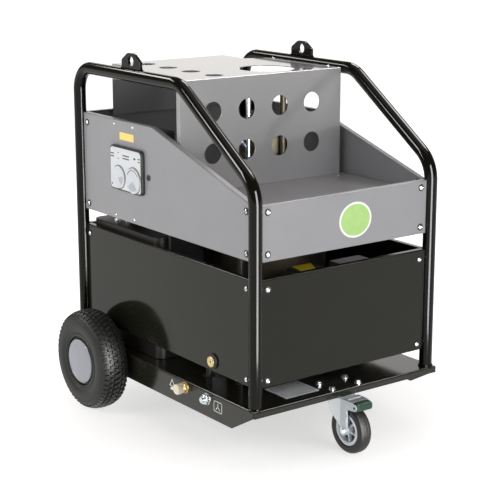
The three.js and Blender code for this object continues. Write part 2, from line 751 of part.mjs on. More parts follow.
function casterFork() {
  const { y, wheelY, wheelR, topZ } = CASTER;
  const crown = box([-LEG.outer, LEG.outer], [wheelY - 10, y + 26], [topZ - 4, topZ]);
  const legs = [LEFT, RIGHT].map(forkLeg);
  const axleHole = rodX(wheelY, wheelR, 5.3, [-LEG.outer - 1, LEG.outer + 1], 12);
  return cut(join(crown, ...legs), axleHole, rodZ(0, y, 7.4, [topZ - 10, topZ + 1], 16));
}

// Fixed arms of the brake: from the axle bolt up outside each leg, then forwards over the tyre.
function brakeBracket() {
  const { wheelY, wheelR } = CASTER;
  const { y, z } = BRAKE_PIVOT;
  const plate = [LEG.outer + GAP, LEG.outer + GAP + 2.5];
  const nose = [-90, -54, -18, 18, 54, 90].map((deg) => {
    const t = (deg * Math.PI) / 180;
    return [y - 9 * Math.cos(t), z + 9 * Math.sin(t)];
  });
  const side = [
    [wheelY + 12, wheelR], [wheelY + 12, 146], [y + 12, 146], ...nose.reverse(),
    [wheelY - 11, 121], [wheelY - 11, wheelR],
  ];
  const arms = [LEFT, RIGHT].map((s) => {
    const x = across(s, ...plate);
    const eye = rodX(wheelY, wheelR, 11.5, x, 20);
    const through = [x[0] - 1, x[1] + 1];
    return cut(
      join(prismX(side, x), eye),
      rodX(wheelY, wheelR, 5.3, through, 12),
      rodX(y, z, 3.4, through, 12),
    );
  });
  const strap = box([-plate[1], plate[1]], [y + 18, wheelY - 10.5], [143, 146]);
  return join(...arms, strap);
}

function brakePedal() {
  const { y, z } = BRAKE_PIVOT;
  const half = LEG.outer - GAP;
  const profile = [
    [y - 11, z - 7], [y - 8, z - 10], [y + 14, z - 10], [y + 14, z + 8],
    [y + 10, z + 11], [y - 9, z + 10], [y - 11, z + 7],
  ];
  const block = prismX(profile, [-half, half]);
  return join(block, rodX(y, z, 3, [-LEG.outer - 3.5, LEG.outer + 3.5], 12));
}

function casterAxle() {
  const end = LEG.outer + GAP + 2.5 + GAP;
  const { wheelY, wheelR } = CASTER;
  return join(
    rodX(wheelY, wheelR, 5, [-end - 2, end + 2], 12),
    rodX(wheelY, wheelR, 8.5, [-end - 7, -end], 6),
    rodX(wheelY, wheelR, 8.5, [end, end + 7], 6),
  );
}

function casterRim() {
  const { wheelY, wheelR, rimR } = CASTER;
  const hub = 5 + GAP;
  const profile = [
    [hub, -20.5], [11, -20.5], [11, -5], [rimR - 4, -5], [rimR - 4, -15], [rimR, -15],
    [rimR, 15], [rimR - 4, 15], [rimR - 4, 5], [11, 5], [11, 20.5], [hub, 20.5],
  ];
  return turnedX(profile, wheelY, wheelR, 20);
}

function casterTyre() {
  const { wheelY, wheelR, wheelHalf, rimR } = CASTER;
  const bore = rimR + GAP;
  const profile = [
    [bore, -15], [bore + 3, -wheelHalf], [wheelR - 8, -wheelHalf], [wheelR, -8],
    [wheelR, 8], [wheelR - 8, wheelHalf], [bore + 3, wheelHalf], [bore, 15],
  ];
  return turnedX(profile, wheelY, wheelR, 28);
}

// ---- The assembly ----

add("base_tray", baseTray(), charcoalPaint);
add("data_plate", dataPlate(), steel);
for (const side of [LEFT, RIGHT]) {
  const name = sideName(side);
  add(name + "_frame_hoop", hoop(side), blackGloss);
  add(name + "_lifting_eye", liftingEye(side), blackGloss);
  add(name + "_upper_panel", upperSidePanel(side), greyPaint);
  add(name + "_lower_panel", lowerSidePanel(side), charcoalPaint);
  add(name + "_tyre", tyre(side), rubber);
  add(name + "_rim", rim(side), steel);
  add(name + "_wheel_cap", wheelCap(side), greyPlastic);
}
add("front_upper_panel", endPanel(-1, UPPER_Z0, FRONT_Z1), greyPaint);
add("rear_upper_panel", endPanel(1, UPPER_Z0, UPPER_Z1), greyPaint);
add("front_lower_panel", endPanel(-1, LOWER_Z0, LOWER_Z1), charcoalPaint);
add("rear_lower_panel", endPanel(1, LOWER_Z0, LOWER_Z1), charcoalPaint);
add("storage_tray", storageTray(), greyPaint);
add("upper_cover", upperCover(), coverPaint);
add("electrical_box", electricalBox(), blackPlastic);
add("control_bezel", controlSlab(CONTROL.bezel, 12, [CONTROL.front + 2, -HOOP_X - GAP]), blackPlastic);
add("control_plate", controlSlab(CONTROL.plate, 9, [CONTROL.front, CONTROL.front + 2 - GAP]), whitePlastic);
add("power_knob", knob(POWER), greyPlastic);
add("thermostat_knob", knob(THERMOSTAT), greyPlastic);
add("panel_plug", panelPlug(), blackPlastic);
add("drain_grommet", drainGrommet(), rubber);
add("drain_plug", drainPlug(), brass);
add("inlet_fitting", bulkheadFitting(INLET, -322, 11), brass);
add("inlet_cap", inletCap(), creamPlastic);
add("outlet_fitting", bulkheadFitting(OUTLET, -318, 11), zinc);
add("inlet_hose", waterHose(INLET, -225, PORT.z[0]), rubber);
add("outlet_hose", waterHose(OUTLET, -195, PORT.z[1]), rubber);
add("boiler_casing", boilerCasing(), heatedSteel);
add("flue_pipe", fluePipe(), steel);
add("heating_coil", heatingCoil(), steel);
add("burner_housing", burnerHousing(), castAluminium);
add("blast_tube", blastTube(), steel);
add("blower_fan", blowerFan(), steel);
add("burner_motor", burnerMotor(), castAluminium);
add("fuel_pump", fuelPump(), castAluminium);
add("ignition_transformer", ignitionTransformer(), blackPlastic);
add("burner_control", burnerControl(), greyPlastic);
add("fuel_tank", fuelTank(), tankPlastic);
add("fuel_cap", fuelCap(), blackPlastic);
add("fuel_filter", fuelFilter(), tankPlastic);
add("rear_axle", rearAxle(), steel);
add("caster_plate", casterPlate(), zinc);
casterBoltPlaces().forEach((place, i) => add("caster_bolt_" + (i + 1), casterBolt(place), zinc));
add("caster_fork", casterFork(), zinc);
add("brake_bracket", brakeBracket(), zinc);
add("brake_pedal", brakePedal(), greenPlastic);
add("caster_axle", casterAxle(), steel);
add("caster_rim", casterRim(), greyPlastic);
add("caster_tyre", casterTyre(), rubber);

export default part;
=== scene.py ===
import math

import bmesh
import bpy
from mathutils import Matrix, Vector


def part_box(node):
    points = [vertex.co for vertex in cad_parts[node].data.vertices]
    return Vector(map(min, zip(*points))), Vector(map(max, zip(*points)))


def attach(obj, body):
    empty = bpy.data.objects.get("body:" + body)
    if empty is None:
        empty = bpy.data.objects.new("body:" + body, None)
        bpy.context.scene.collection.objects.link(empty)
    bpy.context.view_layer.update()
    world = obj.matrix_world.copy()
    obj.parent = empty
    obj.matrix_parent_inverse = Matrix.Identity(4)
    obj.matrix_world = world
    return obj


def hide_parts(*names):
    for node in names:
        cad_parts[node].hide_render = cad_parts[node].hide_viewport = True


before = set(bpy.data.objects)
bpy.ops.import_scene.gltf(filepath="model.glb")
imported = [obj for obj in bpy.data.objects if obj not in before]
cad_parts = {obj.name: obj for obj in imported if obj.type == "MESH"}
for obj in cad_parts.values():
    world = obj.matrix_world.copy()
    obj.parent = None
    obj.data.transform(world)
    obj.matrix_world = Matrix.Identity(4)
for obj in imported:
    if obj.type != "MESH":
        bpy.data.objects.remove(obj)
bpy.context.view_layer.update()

# The CAD part is drawn in millimetres about the middle of its deck; here everything is built in the
# same chassis frame and then brought to metres in the row frame.
MM = 0.001
deck_low, deck_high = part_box("base_tray")
SHIFT_Y = (deck_low.y + deck_high.y) / 2
SCALE = Matrix.Scale(MM, 4)
TO_ROW = Matrix.Translation((0, SHIFT_Y, 0)) @ SCALE

LEFT, RIGHT = -1, 1
SIDES = ((LEFT, "left"), (RIGHT, "right"))
ENDS = ((-1, "front"), (1, "rear"))
GAP = 0.3
SHEET = 2.0

TUBE_R = 16.85
HOOP_X = 280.0
POST_Y = 400.0
KNEE_Z = 709.0
HOOP_TOP_Z = 919.4
SLOPE_TOP_Y = -92.0
HOOP_BENDS = (90.0, 90.0, 63.0)
EYE_Y, EYE_HALF, EYE_TOP = 129.5, 44.5, 977.0

DECK_TOP = 167.0
DECK_X = 299.0
DECK_Y = 421.0
DECK_SHEET = 3.0
DECK_BEND = 4.5
LIP_Z = 150.0
SKIRT_Z = 100.0
FOOT_Z = DECK_TOP + GAP

PANEL_Y = 382.0
PANEL_X = 263.0
PANEL_BEND = 3.2
UPPER_Z = (527.0, 796.0)
LOWER_Z = (215.0, 484.5)
FRONT_Z1 = 666.0
SLOPE_Y = 41.5
RETURN = 16.0
FRONT_FACE = -POST_Y - SHEET
SIDE_TABS = {-1: (648.0, 545.5, 459.5, 232.0), 1: (770.0, 545.5, 459.5, 232.0)}

TRAY_Z = 633.0
TRAY_X = 272.0
COVER_Y = (-61.4, 384.0)
COVER_X = 261.0
COVER_BACK_X = 186.0
COVER_Z = 922.0
COVER_TABS_Y = (-16.0, 227.0)
HOLE_PITCH = 107.2

BOILER_X, BOILER_Y, BOILER_R = 83.0, 37.0, 165.0
BOILER_TOP = 600.0
BOILER_PORT_Y = 15
BOILER_PORTS_Z = (220, 560)
FLUE_R = 72.0
BURNER_Y, BURNER_Z, BURNER_R = -265.0, 300.0, 85.0
BURNER_AXIS = (BURNER_Y, BURNER_Z)
BLAST_Z = 290.0
TANK_CAP = (-150, 330)

CONTROL_Y, CONTROL_Z, CONTROL_FRONT = 154.5, 670.0, -291.0
POWER, HEAT = (186.0, 647.0, 30.0), (114.5, 647.0, 34.0)
DIAL_FACE = CONTROL_FRONT - GAP - 4
DRAIN = (-225.0, 242.0)
PORTS = {"inlet": (-128.0, 150.0), "outlet": (-225.0, 147.0)}
HOSE_X = {"inlet": -225.0, "outlet": -195.0}

WHEEL_Y, WHEEL_Z, WHEEL_R = 253.0, 137.0, 137.0
HUB = (WHEEL_Y, WHEEL_Z)
WHEEL_X = (306.0, 392.0)
CASTER_Y, CASTER_WHEEL_Y, CASTER_R = -378.0, -430.0, 62.5
CASTER_HUB = (CASTER_WHEEL_Y, CASTER_R)
BRAKE_Y, BRAKE_Z = -471.0, 134.0
LEG_IN, LEG_OUT = 21.5, 24.5


# ---- Flat outlines ----

def rounded(points, radius, steps=3, closed=True):
    """The corners of a polyline, each replaced by a short curve."""
    made = []
    count = len(points)
    for i, point in enumerate(points):
        here = Vector(point)
        if not closed and i in (0, count - 1):
            made.append(tuple(here))
            continue
        back = Vector(points[i - 1]) - here
        on = Vector(points[(i + 1) % count]) - here
        reach = min(radius, 0.45 * back.length, 0.45 * on.length)
        if reach < 1e-4 or abs(back.normalized().dot(on.normalized())) > 0.999:
            made.append(tuple(here))
            continue
        start, end = here + back.normalized() * reach, here + on.normalized() * reach
        for k in range(steps + 1):
            t = k / steps
            made.append(tuple(start * (1 - t) ** 2 + here * 2 * t * (1 - t) + end * t * t))
    return made


def ring(a, b, r, sides, stretch=1.0, start=0.0):
    turns = [start + 2 * math.pi * k / sides for k in range(sides)]
    return [(a + r * math.cos(t), b + r * stretch * math.sin(t)) for t in turns]


def arc(a, b, r, start, end, steps):
    """Points on part of a circle, both ends included; angles in degrees."""
    turns = [math.radians(start + (end - start) * k / steps) for k in range(steps + 1)]
    return [(a + r * math.cos(t), b + r * math.sin(t)) for t in turns]


def rounded_rect(a, b, width, height, r, steps=6):
    made = []
    for corner, (sa, sb) in enumerate([(1, 1), (-1, 1), (-1, -1), (1, -1)]):
        centre = (a + sa * (width / 2 - r), b + sb * (height / 2 - r))
        made += arc(*centre, r, 90 * corner, 90 * corner + 90, steps)
    return made


def rect(a0, a1, b0, b1):
    return [(a0, b0), (a1, b0), (a1, b1), (a0, b1)]


def across(side, a, b):
    return min(side * a, side * b), max(side * a, side * b)


def bent(corners, bends, steps):
    """Points along straight runs joined by round bends."""
    points = [Vector(c) for c in corners]
    made = [points[0]]
    for i, bend in enumerate(bends):
        corner = points[i + 1]
        before = (corner - points[i]).normalized()
        after = (points[i + 2] - corner).normalized()
        angle = before.angle(after)
        inward = (after - before * before.dot(after)).normalized()
        start = corner - before * bend * math.tan(angle / 2)
        for k in range(steps + 1):
            t = angle * k / steps
            made.append(start + before * bend * math.sin(t) + inward * bend * (1 - math.cos(t)))
    made.append(points[-1])
    return made


class FoldPath:
    """A sheet's outer line in a plane, with round bends; distances are measured along it."""

    def __init__(self, corners, radius, steps=6):
        points = [Vector(c) for c in corners]
        ways = [(b - a).normalized() for a, b in zip(points, points[1:])]
        self.radius = radius
        self.runs = []
        self.arcs = []
        s = 0.0
        trim = 0.0
        for i, way in enumerate(ways):
            last = i == len(ways) - 1
            angle = 0.0 if last else way.angle(ways[i + 1])
            next_trim = radius * math.tan(angle / 2)
            self.runs.append((s, points[i] + way * trim, way))
            s += (points[i + 1] - points[i]).length - trim - next_trim
            if not last:
                after = ways[i + 1]
                sign = -1 if way.x * after.y - way.y * after.x < 0 else 1
                self.arcs.append((s, points[i + 1] - way * next_trim, way, angle, sign))
                s += radius * angle
            trim = next_trim
        self.length = s
        self.cuts = [start + angle * radius * k / steps for start, _, _, angle, _ in self.arcs
                     for k in range(steps + 1)]

    def along(self, run, a, b):
        start, origin, way = self.runs[run]
        return start + (Vector((a, b)) - origin).dot(way)

    def at(self, s, depth):
        """The place at distance s along the line and depth inside the sheet's outer face."""
        for start, origin, way, turn, sign in self.arcs:
            if start <= s < start + turn * self.radius:
                left = Vector((-way.y, way.x))
                angle = (s - start) / self.radius
                centre = origin + left * sign * self.radius
                out = -left * sign * math.cos(angle) + way * math.sin(angle)
                return centre + out * (self.radius + sign * depth)
        start, origin, way = [r for r in self.runs if r[0] <= s + 1e-6][-1]
        return origin + way * (s - start) - Vector((-way.y, way.x)) * depth


# ---- Closed shapes, gathered into one mesh ----

AXES = {
    "x": lambda a, b, w: (w, a, b),
    "y": lambda a, b, w: (a, w, b),
    "z": lambda a, b, w: (a, b, w),
}


def flat_plate(loops, thickness, edge):
    """A plate from 0 down to -thickness, outlines and holes with eased edges."""
    curve = bpy.data.curves.new("outline", "CURVE")
    curve.dimensions = "2D"
    curve.fill_mode = "BOTH"
    for loop in loops:
        spline = curve.splines.new("POLY")
        spline.points.add(len(loop) - 1)
        for point, (a, b) in zip(spline.points, loop):
            point.co = (a, b, 0, 1)
        spline.use_cyclic_u = True
    curve.extrude = thickness / 2 - edge
    curve.bevel_depth = edge
    curve.bevel_resolution = 1
    curve.offset = -edge
    holder = bpy.data.objects.new("outline", curve)
    bpy.context.collection.objects.link(holder)
    bpy.context.view_layer.update()
    mesh = bpy.data.meshes.new_from_object(holder.evaluated_get(bpy.context.evaluated_depsgraph_get()))
    bpy.data.objects.remove(holder)
    bpy.data.curves.remove(curve)
    plate = bmesh.new()
    plate.from_mesh(mesh)
    bpy.data.meshes.remove(mesh)
    bmesh.ops.remove_doubles(plate, verts=plate.verts, dist=0.004)
    for vert in plate.verts:
        vert.co.z -= thickness / 2
    return plate


def strips(rows, closed=False):
    """Quads between neighbouring rows of vertex numbers, each row a closed loop."""
    made = []
    for low, high in zip(rows, rows[1:] + rows[:1] if closed else rows[1:]):
        size = len(low)
        made += [[low[k], low[(k + 1) % size], high[(k + 1) % size], high[k]] for k in range(size)]
    return made


class Build:
    """Closed shapes in millimetres in the chassis frame."""

    def __init__(self):
        self.bm = bmesh.new()

    def faces(self, verts, faces):
        made = [self.bm.verts.new(v) for v in verts]
        for face in faces:
            self.bm.faces.new([made[i] for i in face])
        return self

    def merge(self, other, moved):
        other.verts.index_update()
        verts = [moved(v.co) for v in other.verts]
        faces = [[v.index for v in f.verts] for f in other.faces]
        other.free()
        return self.faces(verts, faces)

    def turned(self, axis, profile, centre, segments=48, edge=0.6):
        """A profile of (radius, distance along the axis) turned about a line through centre."""
        closed = profile[0][0] > 0
        verts, rows = [], []
        for r, w in rounded(profile, edge, 2, closed):
            if r < 1e-6:
                rows.append([len(verts)] * segments)
                verts.append(AXES[axis](*centre, w))
            else:
                rows.append([len(verts) + k for k in range(segments)])
                verts += [AXES[axis](a, b, w) for a, b in ring(*centre, r, segments)]
        faces = [[v for i, v in enumerate(face) if v not in face[:i]] for face in strips(rows, closed)]
        return self.faces(verts, [face for face in faces if len(face) > 2])

    def rod(self, axis, centre, r, w, segments=32, edge=0.6, bore=0):
        return self.turned(axis, [(bore, w[0]), (r, w[0]), (r, w[1]), (bore, w[1])], centre, segments, edge)

    def stud(self, axis, centre, face, r, height):
        """A small round head on a face."""
        profile = [(0, face + height), (r, face + height), (r + 0.6, face - 0.2), (0, face - 0.2)]
        return self.turned(axis, profile, centre, 12, 0.3)

    def prism(self, axis, outline, w, holes=(), edge=0.4):
        plate = flat_plate([outline, *holes], w[1] - w[0], edge)
        return self.merge(plate, lambda c: AXES[axis](c.x, c.y, w[1] + c.z))

    def nut(self, axis, centre, flats, w, soft=0.8, edge=0.8, start=0.0):
        """A hexagon measured across its flats, with its corners softened."""
        outline = ring(*centre, flats / math.sqrt(3), 6, start=start)
        return self.prism(axis, rounded(outline, soft), w, edge=edge)

    def slab(self, x, y, z, edge=0.5):
        return self.prism("z", rounded(rect(*x, *y), edge * 1.3), z, edge=edge)

    def sheet(self, outline, path, thickness, moved, holes=(), edge=0.25):
        """A flat outline in (across, distance along the fold path), folded along the path."""
        plate = flat_plate([outline, *holes], thickness, edge)
        for s in path.cuts:
            geom = plate.verts[:] + plate.edges[:] + plate.faces[:]
            bmesh.ops.bisect_plane(plate, geom=geom, dist=1e-5, plane_co=(0, s, 0), plane_no=(0, 1, 0))
        return self.merge(plate, lambda c: moved(c.x, *path.at(c.y, -c.z)))

    def tube(self, points, radius, sides=20, bore=0.0, closed=False):
        """A round tube along points; radius may be a number or one number per point."""
        points = [Vector(p) for p in points]
        count = len(points)
        radii = radius if isinstance(radius, (list, tuple)) else [radius] * count
        up = None
        rows, verts = [], []
        for i, point in enumerate(points):
            before = points[i - 1] if closed or i else point
            after = points[(i + 1) % count] if closed or i < count - 1 else point
            way = (after - before).normalized()
            if up is None:
                up = way.orthogonal().normalized()
            up = (up - way * up.dot(way)).normalized()
            side = way.cross(up)
            for r in (radii[i], bore) if bore else (radii[i],):
                rows.append([len(verts) + k for k in range(sides)])
                verts += [point + up * a + side * b for a, b in ring(0, 0, r, sides)]
        lines = [rows[0::2], rows[1::2]] if bore else [rows]
        faces = [face for line in lines for face in strips(line, closed)]
        if not closed:
            for end in (0, -1):
                faces += strips([lines[0][end], lines[1][end]]) if bore else [rows[end]]
        return self.faces(verts, faces)

    def bead(self, points, radius, closed=False):
        """A weld bead: a thin tube whose radius rises and falls along its length."""
        radii = [radius * (1 + 0.18 * math.sin(2.1 * i)) for i in range(len(points))]
        return self.tube(points, radii, 8, closed=closed)

    def loft(self, sections):
        """Equal closed loops joined in order, with flat ends."""
        size = len(sections[0])
        rows = [[i * size + k for k in range(size)] for i in range(len(sections))]
        return self.faces([v for section in sections for v in section],
                          strips(rows) + [rows[0], rows[-1]])


def even_normals(mesh, sharp):
    """Corner normals in which a flat area counts as one face, however it is divided."""
    bm = bmesh.new()
    bm.from_mesh(mesh)
    bm.faces.ensure_lookup_table()
    group = [None] * len(bm.faces)
    areas = []
    for seed in bm.faces:
        if group[seed.index] is not None:
            continue
        group[seed.index] = len(areas)
        area, waiting = 0.0, [seed]
        while waiting:
            face = waiting.pop()
            area += face.calc_area()
            for edge in face.edges:
                for other in edge.link_faces:
                    if group[other.index] is None and other.normal.dot(seed.normal) > 0.99999:
                        group[other.index] = len(areas)
                        waiting.append(other)
        areas.append(area)
    limit = math.cos(math.radians(sharp))
    normals = []
    for face in bm.faces:
        for loop in face.loops:
            total = Vector()
            counted = set()
            for other in loop.vert.link_faces:
                key = group[other.index]
                if key not in counted and other.normal.dot(face.normal) > limit:
                    counted.add(key)
                    total += other.normal * areas[key]
            normals.append(total.normalized() if total.length > 0 else face.normal.copy())
    bm.free()
    mesh.normals_split_custom_set(normals)


def mesh_of(name, build, transform=TO_ROW, sharp=35, tidy=True):
    bm = build.bm
    if tidy:
        bmesh.ops.dissolve_degenerate(bm, dist=0.002, edges=bm.edges)
        bmesh.ops.dissolve_limit(bm, angle_limit=math.radians(0.35), verts=bm.verts, edges=bm.edges)
    bmesh.ops.recalc_face_normals(bm, faces=bm.faces)
    mesh = bpy.data.meshes.new(name)
    bm.to_mesh(mesh)
    bm.free()
    mesh.transform(transform)
    mesh.shade_smooth()
    mesh.set_sharp_from_angle(angle=math.radians(sharp))
    if tidy:
        even_normals(mesh, sharp)
    return mesh


def place(name, mesh, material, replaces=(), body="chassis", matrix=None):
    """A piece on a body; piece's slotted argument is not used."""
    obj = bpy.data.objects.new(name, mesh)
    bpy.context.collection.objects.link(obj)
    if matrix is not None:
        obj.matrix_world = matrix
    if not mesh.materials:
        mesh.materials.append(material)
    if not mesh.has_custom_normals:
        shading = obj.modifiers.new("even_shading", "WEIGHTED_NORMAL")
        shading.keep_sharp = True
    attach(obj, body)
    if replaces:
        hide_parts(*replaces)


def piece(name, build, material, *replaces, body="chassis", slotted=True, sharp=35, tidy=True):
    place(name, mesh_of(name, build, sharp=sharp, tidy=tidy), material, replaces, body)


# ---- Materials ----


def linear(r, g, b):
    def channel(v):
        v /= 255
        return v / 12.92 if v <= 0.04045 else ((v + 0.055) / 1.055) ** 2.4
    return (channel(r), channel(g), channel(b), 1.0)


def shaded(colour, factor):
    return tuple(min(1.0, c * factor) for c in colour[:3]) + (1.0,)


def object_place(tree):
    return tree.nodes.new("ShaderNodeTexCoord").outputs["Object"]


def noise_node(tree, size, detail, stretch=None):
    source = object_place(tree)
    if stretch:
        mapping = tree.nodes.new("ShaderNodeMapping")
        mapping.inputs["Scale"].default_value = stretch
        tree.links.new(source, mapping.inputs["Vector"])
        source = mapping.outputs["Vector"]
    texture = tree.nodes.new("ShaderNodeTexNoise")
    texture.inputs["Scale"].default_value = 1 / size
    texture.inputs["Detail"].default_value = detail
    tree.links.new(source, texture.inputs["Vector"])
    return texture.outputs["Fac"]


def spread(tree, source, low, high, start=0.3, end=0.7):
    node = tree.nodes.new("ShaderNodeMapRange")
    node.inputs["From Min"].default_value = start
    node.inputs["From Max"].default_value = end
    node.inputs["To Min"].default_value = low
    node.inputs["To Max"].default_value = high
    tree.links.new(source, node.inputs["Value"])
    return node.outputs["Result"]


def mixed(tree, factor, a, b):
    node = tree.nodes.new("ShaderNodeMix")
    node.data_type = "RGBA"
    for socket, value in ((node.inputs[6], a), (node.inputs[7], b)):
        if isinstance(value, tuple):
            socket.default_value = value
        else:
            tree.links.new(value, socket)
    tree.links.new(factor, node.inputs[0])
    return node.outputs[2]


def height_of(tree, source):
    parts = tree.nodes.new("ShaderNodeSeparateXYZ")
    tree.links.new(source, parts.inputs["Vector"])
    return parts.outputs["Z"]


def material(name, slot, rgb, roughness, tone, grain, metallic=0.0, rough_spread=0.02, coat=0.0, dust=0.0,
             brushed=None, cells=0.0, specks=0.0, specular=0.5):
    """Paint, plastic, rubber or metal: slow colour drift, fine grain, uneven gloss, dust on upward faces.

    tone and grain are each (amount, size in metres); rgb is what a neutral light would show, 0 to 255.
    """
    colour = linear(*rgb)
    made = bpy.data.materials.new(name)
    made.use_nodes = True
    made.diffuse_color = colour
    tree = made.node_tree
    shader = tree.nodes["Principled BSDF"]
    shader.inputs["Metallic"].default_value = metallic
    shader.inputs["Coat Weight"].default_value = coat
    shader.inputs["Coat Roughness"].default_value = 0.05
    shader.inputs["Specular IOR Level"].default_value = specular
    drift = spread(tree, noise_node(tree, tone[1], 5.0), 0, 1)
    base = mixed(tree, drift, shaded(colour, 1 - tone[0]), shaded(colour, 1 + tone[0]))
    if specks:
        spots = spread(tree, noise_node(tree, 0.0016, 2.0), 0, specks, 0.6, 0.75)
        base = mixed(tree, spots, base, shaded(colour, 1.6))
    if cells:
        voronoi = tree.nodes.new("ShaderNodeTexVoronoi")
        voronoi.inputs["Scale"].default_value = 1 / cells
        tree.links.new(object_place(tree), voronoi.inputs["Vector"])
        split = tree.nodes.new("ShaderNodeSeparateColor")
        tree.links.new(voronoi.outputs["Color"], split.inputs["Color"])
        flake = spread(tree, split.outputs["Red"], 0, 0.16, 0.0, 1.0)
        base = mixed(tree, flake, base, shaded(colour, 0.72))
    if dust:
        geometry = tree.nodes.new("ShaderNodeNewGeometry")
        up = spread(tree, height_of(tree, geometry.outputs["Normal"]), 0, dust, 0.2, 1.0)
        patch = tree.nodes.new("ShaderNodeMath")
        patch.operation = "MULTIPLY"
        tree.links.new(up, patch.inputs[0])
        tree.links.new(spread(tree, noise_node(tree, 0.02, 6.0), 0.2, 1.0), patch.inputs[1])
        base = mixed(tree, patch.outputs["Value"], base, linear(150, 146, 138))
    tree.links.new(base, shader.inputs["Base Color"])
    uneven = noise_node(tree, tone[1] * 0.35, 6.0)
    gloss = spread(tree, uneven, roughness - rough_spread, roughness + rough_spread, 0.2, 0.8)
    tree.links.new(gloss, shader.inputs["Roughness"])
    stretch = {"x": (0.04, 1, 1), "y": (1, 0.04, 1), "z": (1, 1, 0.04)}.get(brushed)
    bump = tree.nodes.new("ShaderNodeBump")
    bump.inputs["Strength"].default_value = grain[0]
    bump.inputs["Distance"].default_value = 0.0004
    tree.links.new(noise_node(tree, grain[1], 2.0, stretch), bump.inputs["Height"])
    tree.links.new(bump.outputs["Normal"], shader.inputs["Normal"])
    return made


GREY = material("grey_powder_coat", "grey_paint", (144, 144, 148), 0.42, (0.02, 0.09), (0.05, 0.0011),
                coat=0.45, specular=0.3)
COVER = material("cover_powder_coat", "cover_paint", (150, 150, 153), 0.32, (0.012, 0.09), (0.02, 0.0016),
                 rough_spread=0.008, coat=0.9, specular=0.3)
CHARCOAL = material("charcoal_powder_coat", "charcoal_paint", (25, 25, 19), 0.10, (0.06, 0.09),
                    (0.03, 0.0016), rough_spread=0.03, specks=0.06, specular=0.3)
DECK = material("deck_powder_coat", "charcoal_paint", (28, 28, 22), 0.13, (0.08, 0.09), (0.04, 0.0016),
                rough_spread=0.03, dust=0.02)
BLACK = material("black_gloss_paint", "black_tube", (13, 13, 9), 0.09, (0.10, 0.09), (0.01, 0.03),
                 rough_spread=0.01, specular=0.22)
ZINC = material("bright_zinc", "zinc", (222, 229, 231), 0.27, (0.05, 0.03), (0.06, 0.0014), 1.0, cells=0.005)
GALVANISED = material("galvanised_plate", "zinc", (216, 222, 226), 0.44, (0.05, 0.03), (0.05, 0.0014), 1.0,
                      cells=0.004)
# Painted shade: a darker copy of the zinc, so that the brake arms read as shaded beside the fork leg.
SHADED_ZINC = material("bracket_zinc_painted_shade", "zinc", (184, 190, 196), 0.42, (0.05, 0.03), (0.05, 0.0014), 1.0,
                     cells=0.004)
STEEL = material("machined_steel", "steel", (150, 152, 154), 0.34, (0.06, 0.03), (0.10, 0.0014), 1.0,
                 brushed="x")
HEATED = material("heat_tinted_steel", "boiler_steel", (70, 64, 52), 0.5, (0.22, 0.06), (0.12, 0.0014), 0.7,
                  brushed="z")
PLATE_METAL = material("brushed_plate", "steel", (236, 241, 246), 0.3, (0.05, 0.03), (0.06, 0.0014),
                       brushed="y")
BRASS = material("turned_brass", "brass", (232, 208, 158), 0.28, (0.05, 0.01), (0.10, 0.0014), 1.0,
                 brushed="x")
CASTING = material("cast_aluminium", "cast_aluminium", (150, 152, 154), 0.52, (0.07, 0.02), (0.45, 0.0016),
                   0.9)
WIRE = material("braided_hose", "steel", (150, 168, 190), 0.3, (0.3, 0.002), (0.5, 0.0012), 0.9)
TYRE = material("tyre_rubber", "tyre", (22, 23, 19), 0.46, (0.10, 0.03), (0.12, 0.0009), dust=0.04,
                specular=0.45)
CASTER_RUBBER = material("caster_rubber", "tyre", (22, 20, 18), 0.5, (0.10, 0.02), (0.15, 0.0009))
RUBBER = material("black_rubber", "rubber", (36, 36, 35), 0.58, (0.08, 0.02), (0.18, 0.0008))
BLACK_PLASTIC = material("black_moulding", "black_plastic", (34, 33, 33), 0.42, (0.05, 0.03), (0.22, 0.0007))
WHITE_PLASTIC = material("white_moulding", "white_plastic", (212, 217, 222), 0.32, (0.015, 0.04),
                         (0.06, 0.0009), coat=0.1)
DIAL = material("dial_moulding", "grey_plastic", (206, 210, 216), 0.22, (0.02, 0.02), (0.05, 0.0009),
                coat=0.25)
GREY_PLASTIC = material("grey_moulding", "grey_plastic", (149, 153, 162), 0.3, (0.03, 0.03), (0.06, 0.0009),
                        coat=0.2)
RIM_PLASTIC = material("rim_moulding", "grey_plastic", (214, 222, 230), 0.34, (0.03, 0.02), (0.06, 0.0009),
                       coat=0.2)
RELAY_PLASTIC = material("relay_moulding", "grey_plastic", (84, 82, 78), 0.4, (0.05, 0.02), (0.15, 0.0009))
CREAM_PLASTIC = material("cream_moulding", "cream_plastic", (232, 224, 200), 0.45, (0.03, 0.01),
                         (0.12, 0.0008))
GREEN_PLASTIC = material("green_moulding", "green_plastic", (27, 68, 48), 0.4, (0.35, 0.005), (0.5, 0.0016))
TANK_PLASTIC = material("black_polyethylene", "tank_plastic", (20, 19, 16), 0.45, (0.08, 0.05), (0.2, 0.002))
# Painted shade: a darker grey copy of the dial colour, laid as sectors on the dial faces.
DIAL_PAINTED_SHADE = material("dial_painted_shade", None, (172, 178, 188), 0.3, (0.02, 0.02), (0.05, 0.0009))
YELLOW_LABEL = material("yellow_label", None, (246, 222, 124), 0.4, (0.04, 0.008), (0.04, 0.0014))
BRIGHT_LABEL = material("bright_label", None, (252, 226, 24), 0.4, (0.04, 0.008), (0.04, 0.0014))
GREEN_LABEL = material("green_label", None, (166, 207, 122), 0.38, (0.05, 0.02), (0.04, 0.0014))
WHITE_LABEL = material("white_label", None, (238, 240, 236), 0.38, (0.02, 0.02), (0.04, 0.0014))
PRINT = material("dark_print", None, (62, 58, 34), 0.45, (0.08, 0.004), (0.04, 0.0014))


# ---- Frame hoops and lifting eyes ----

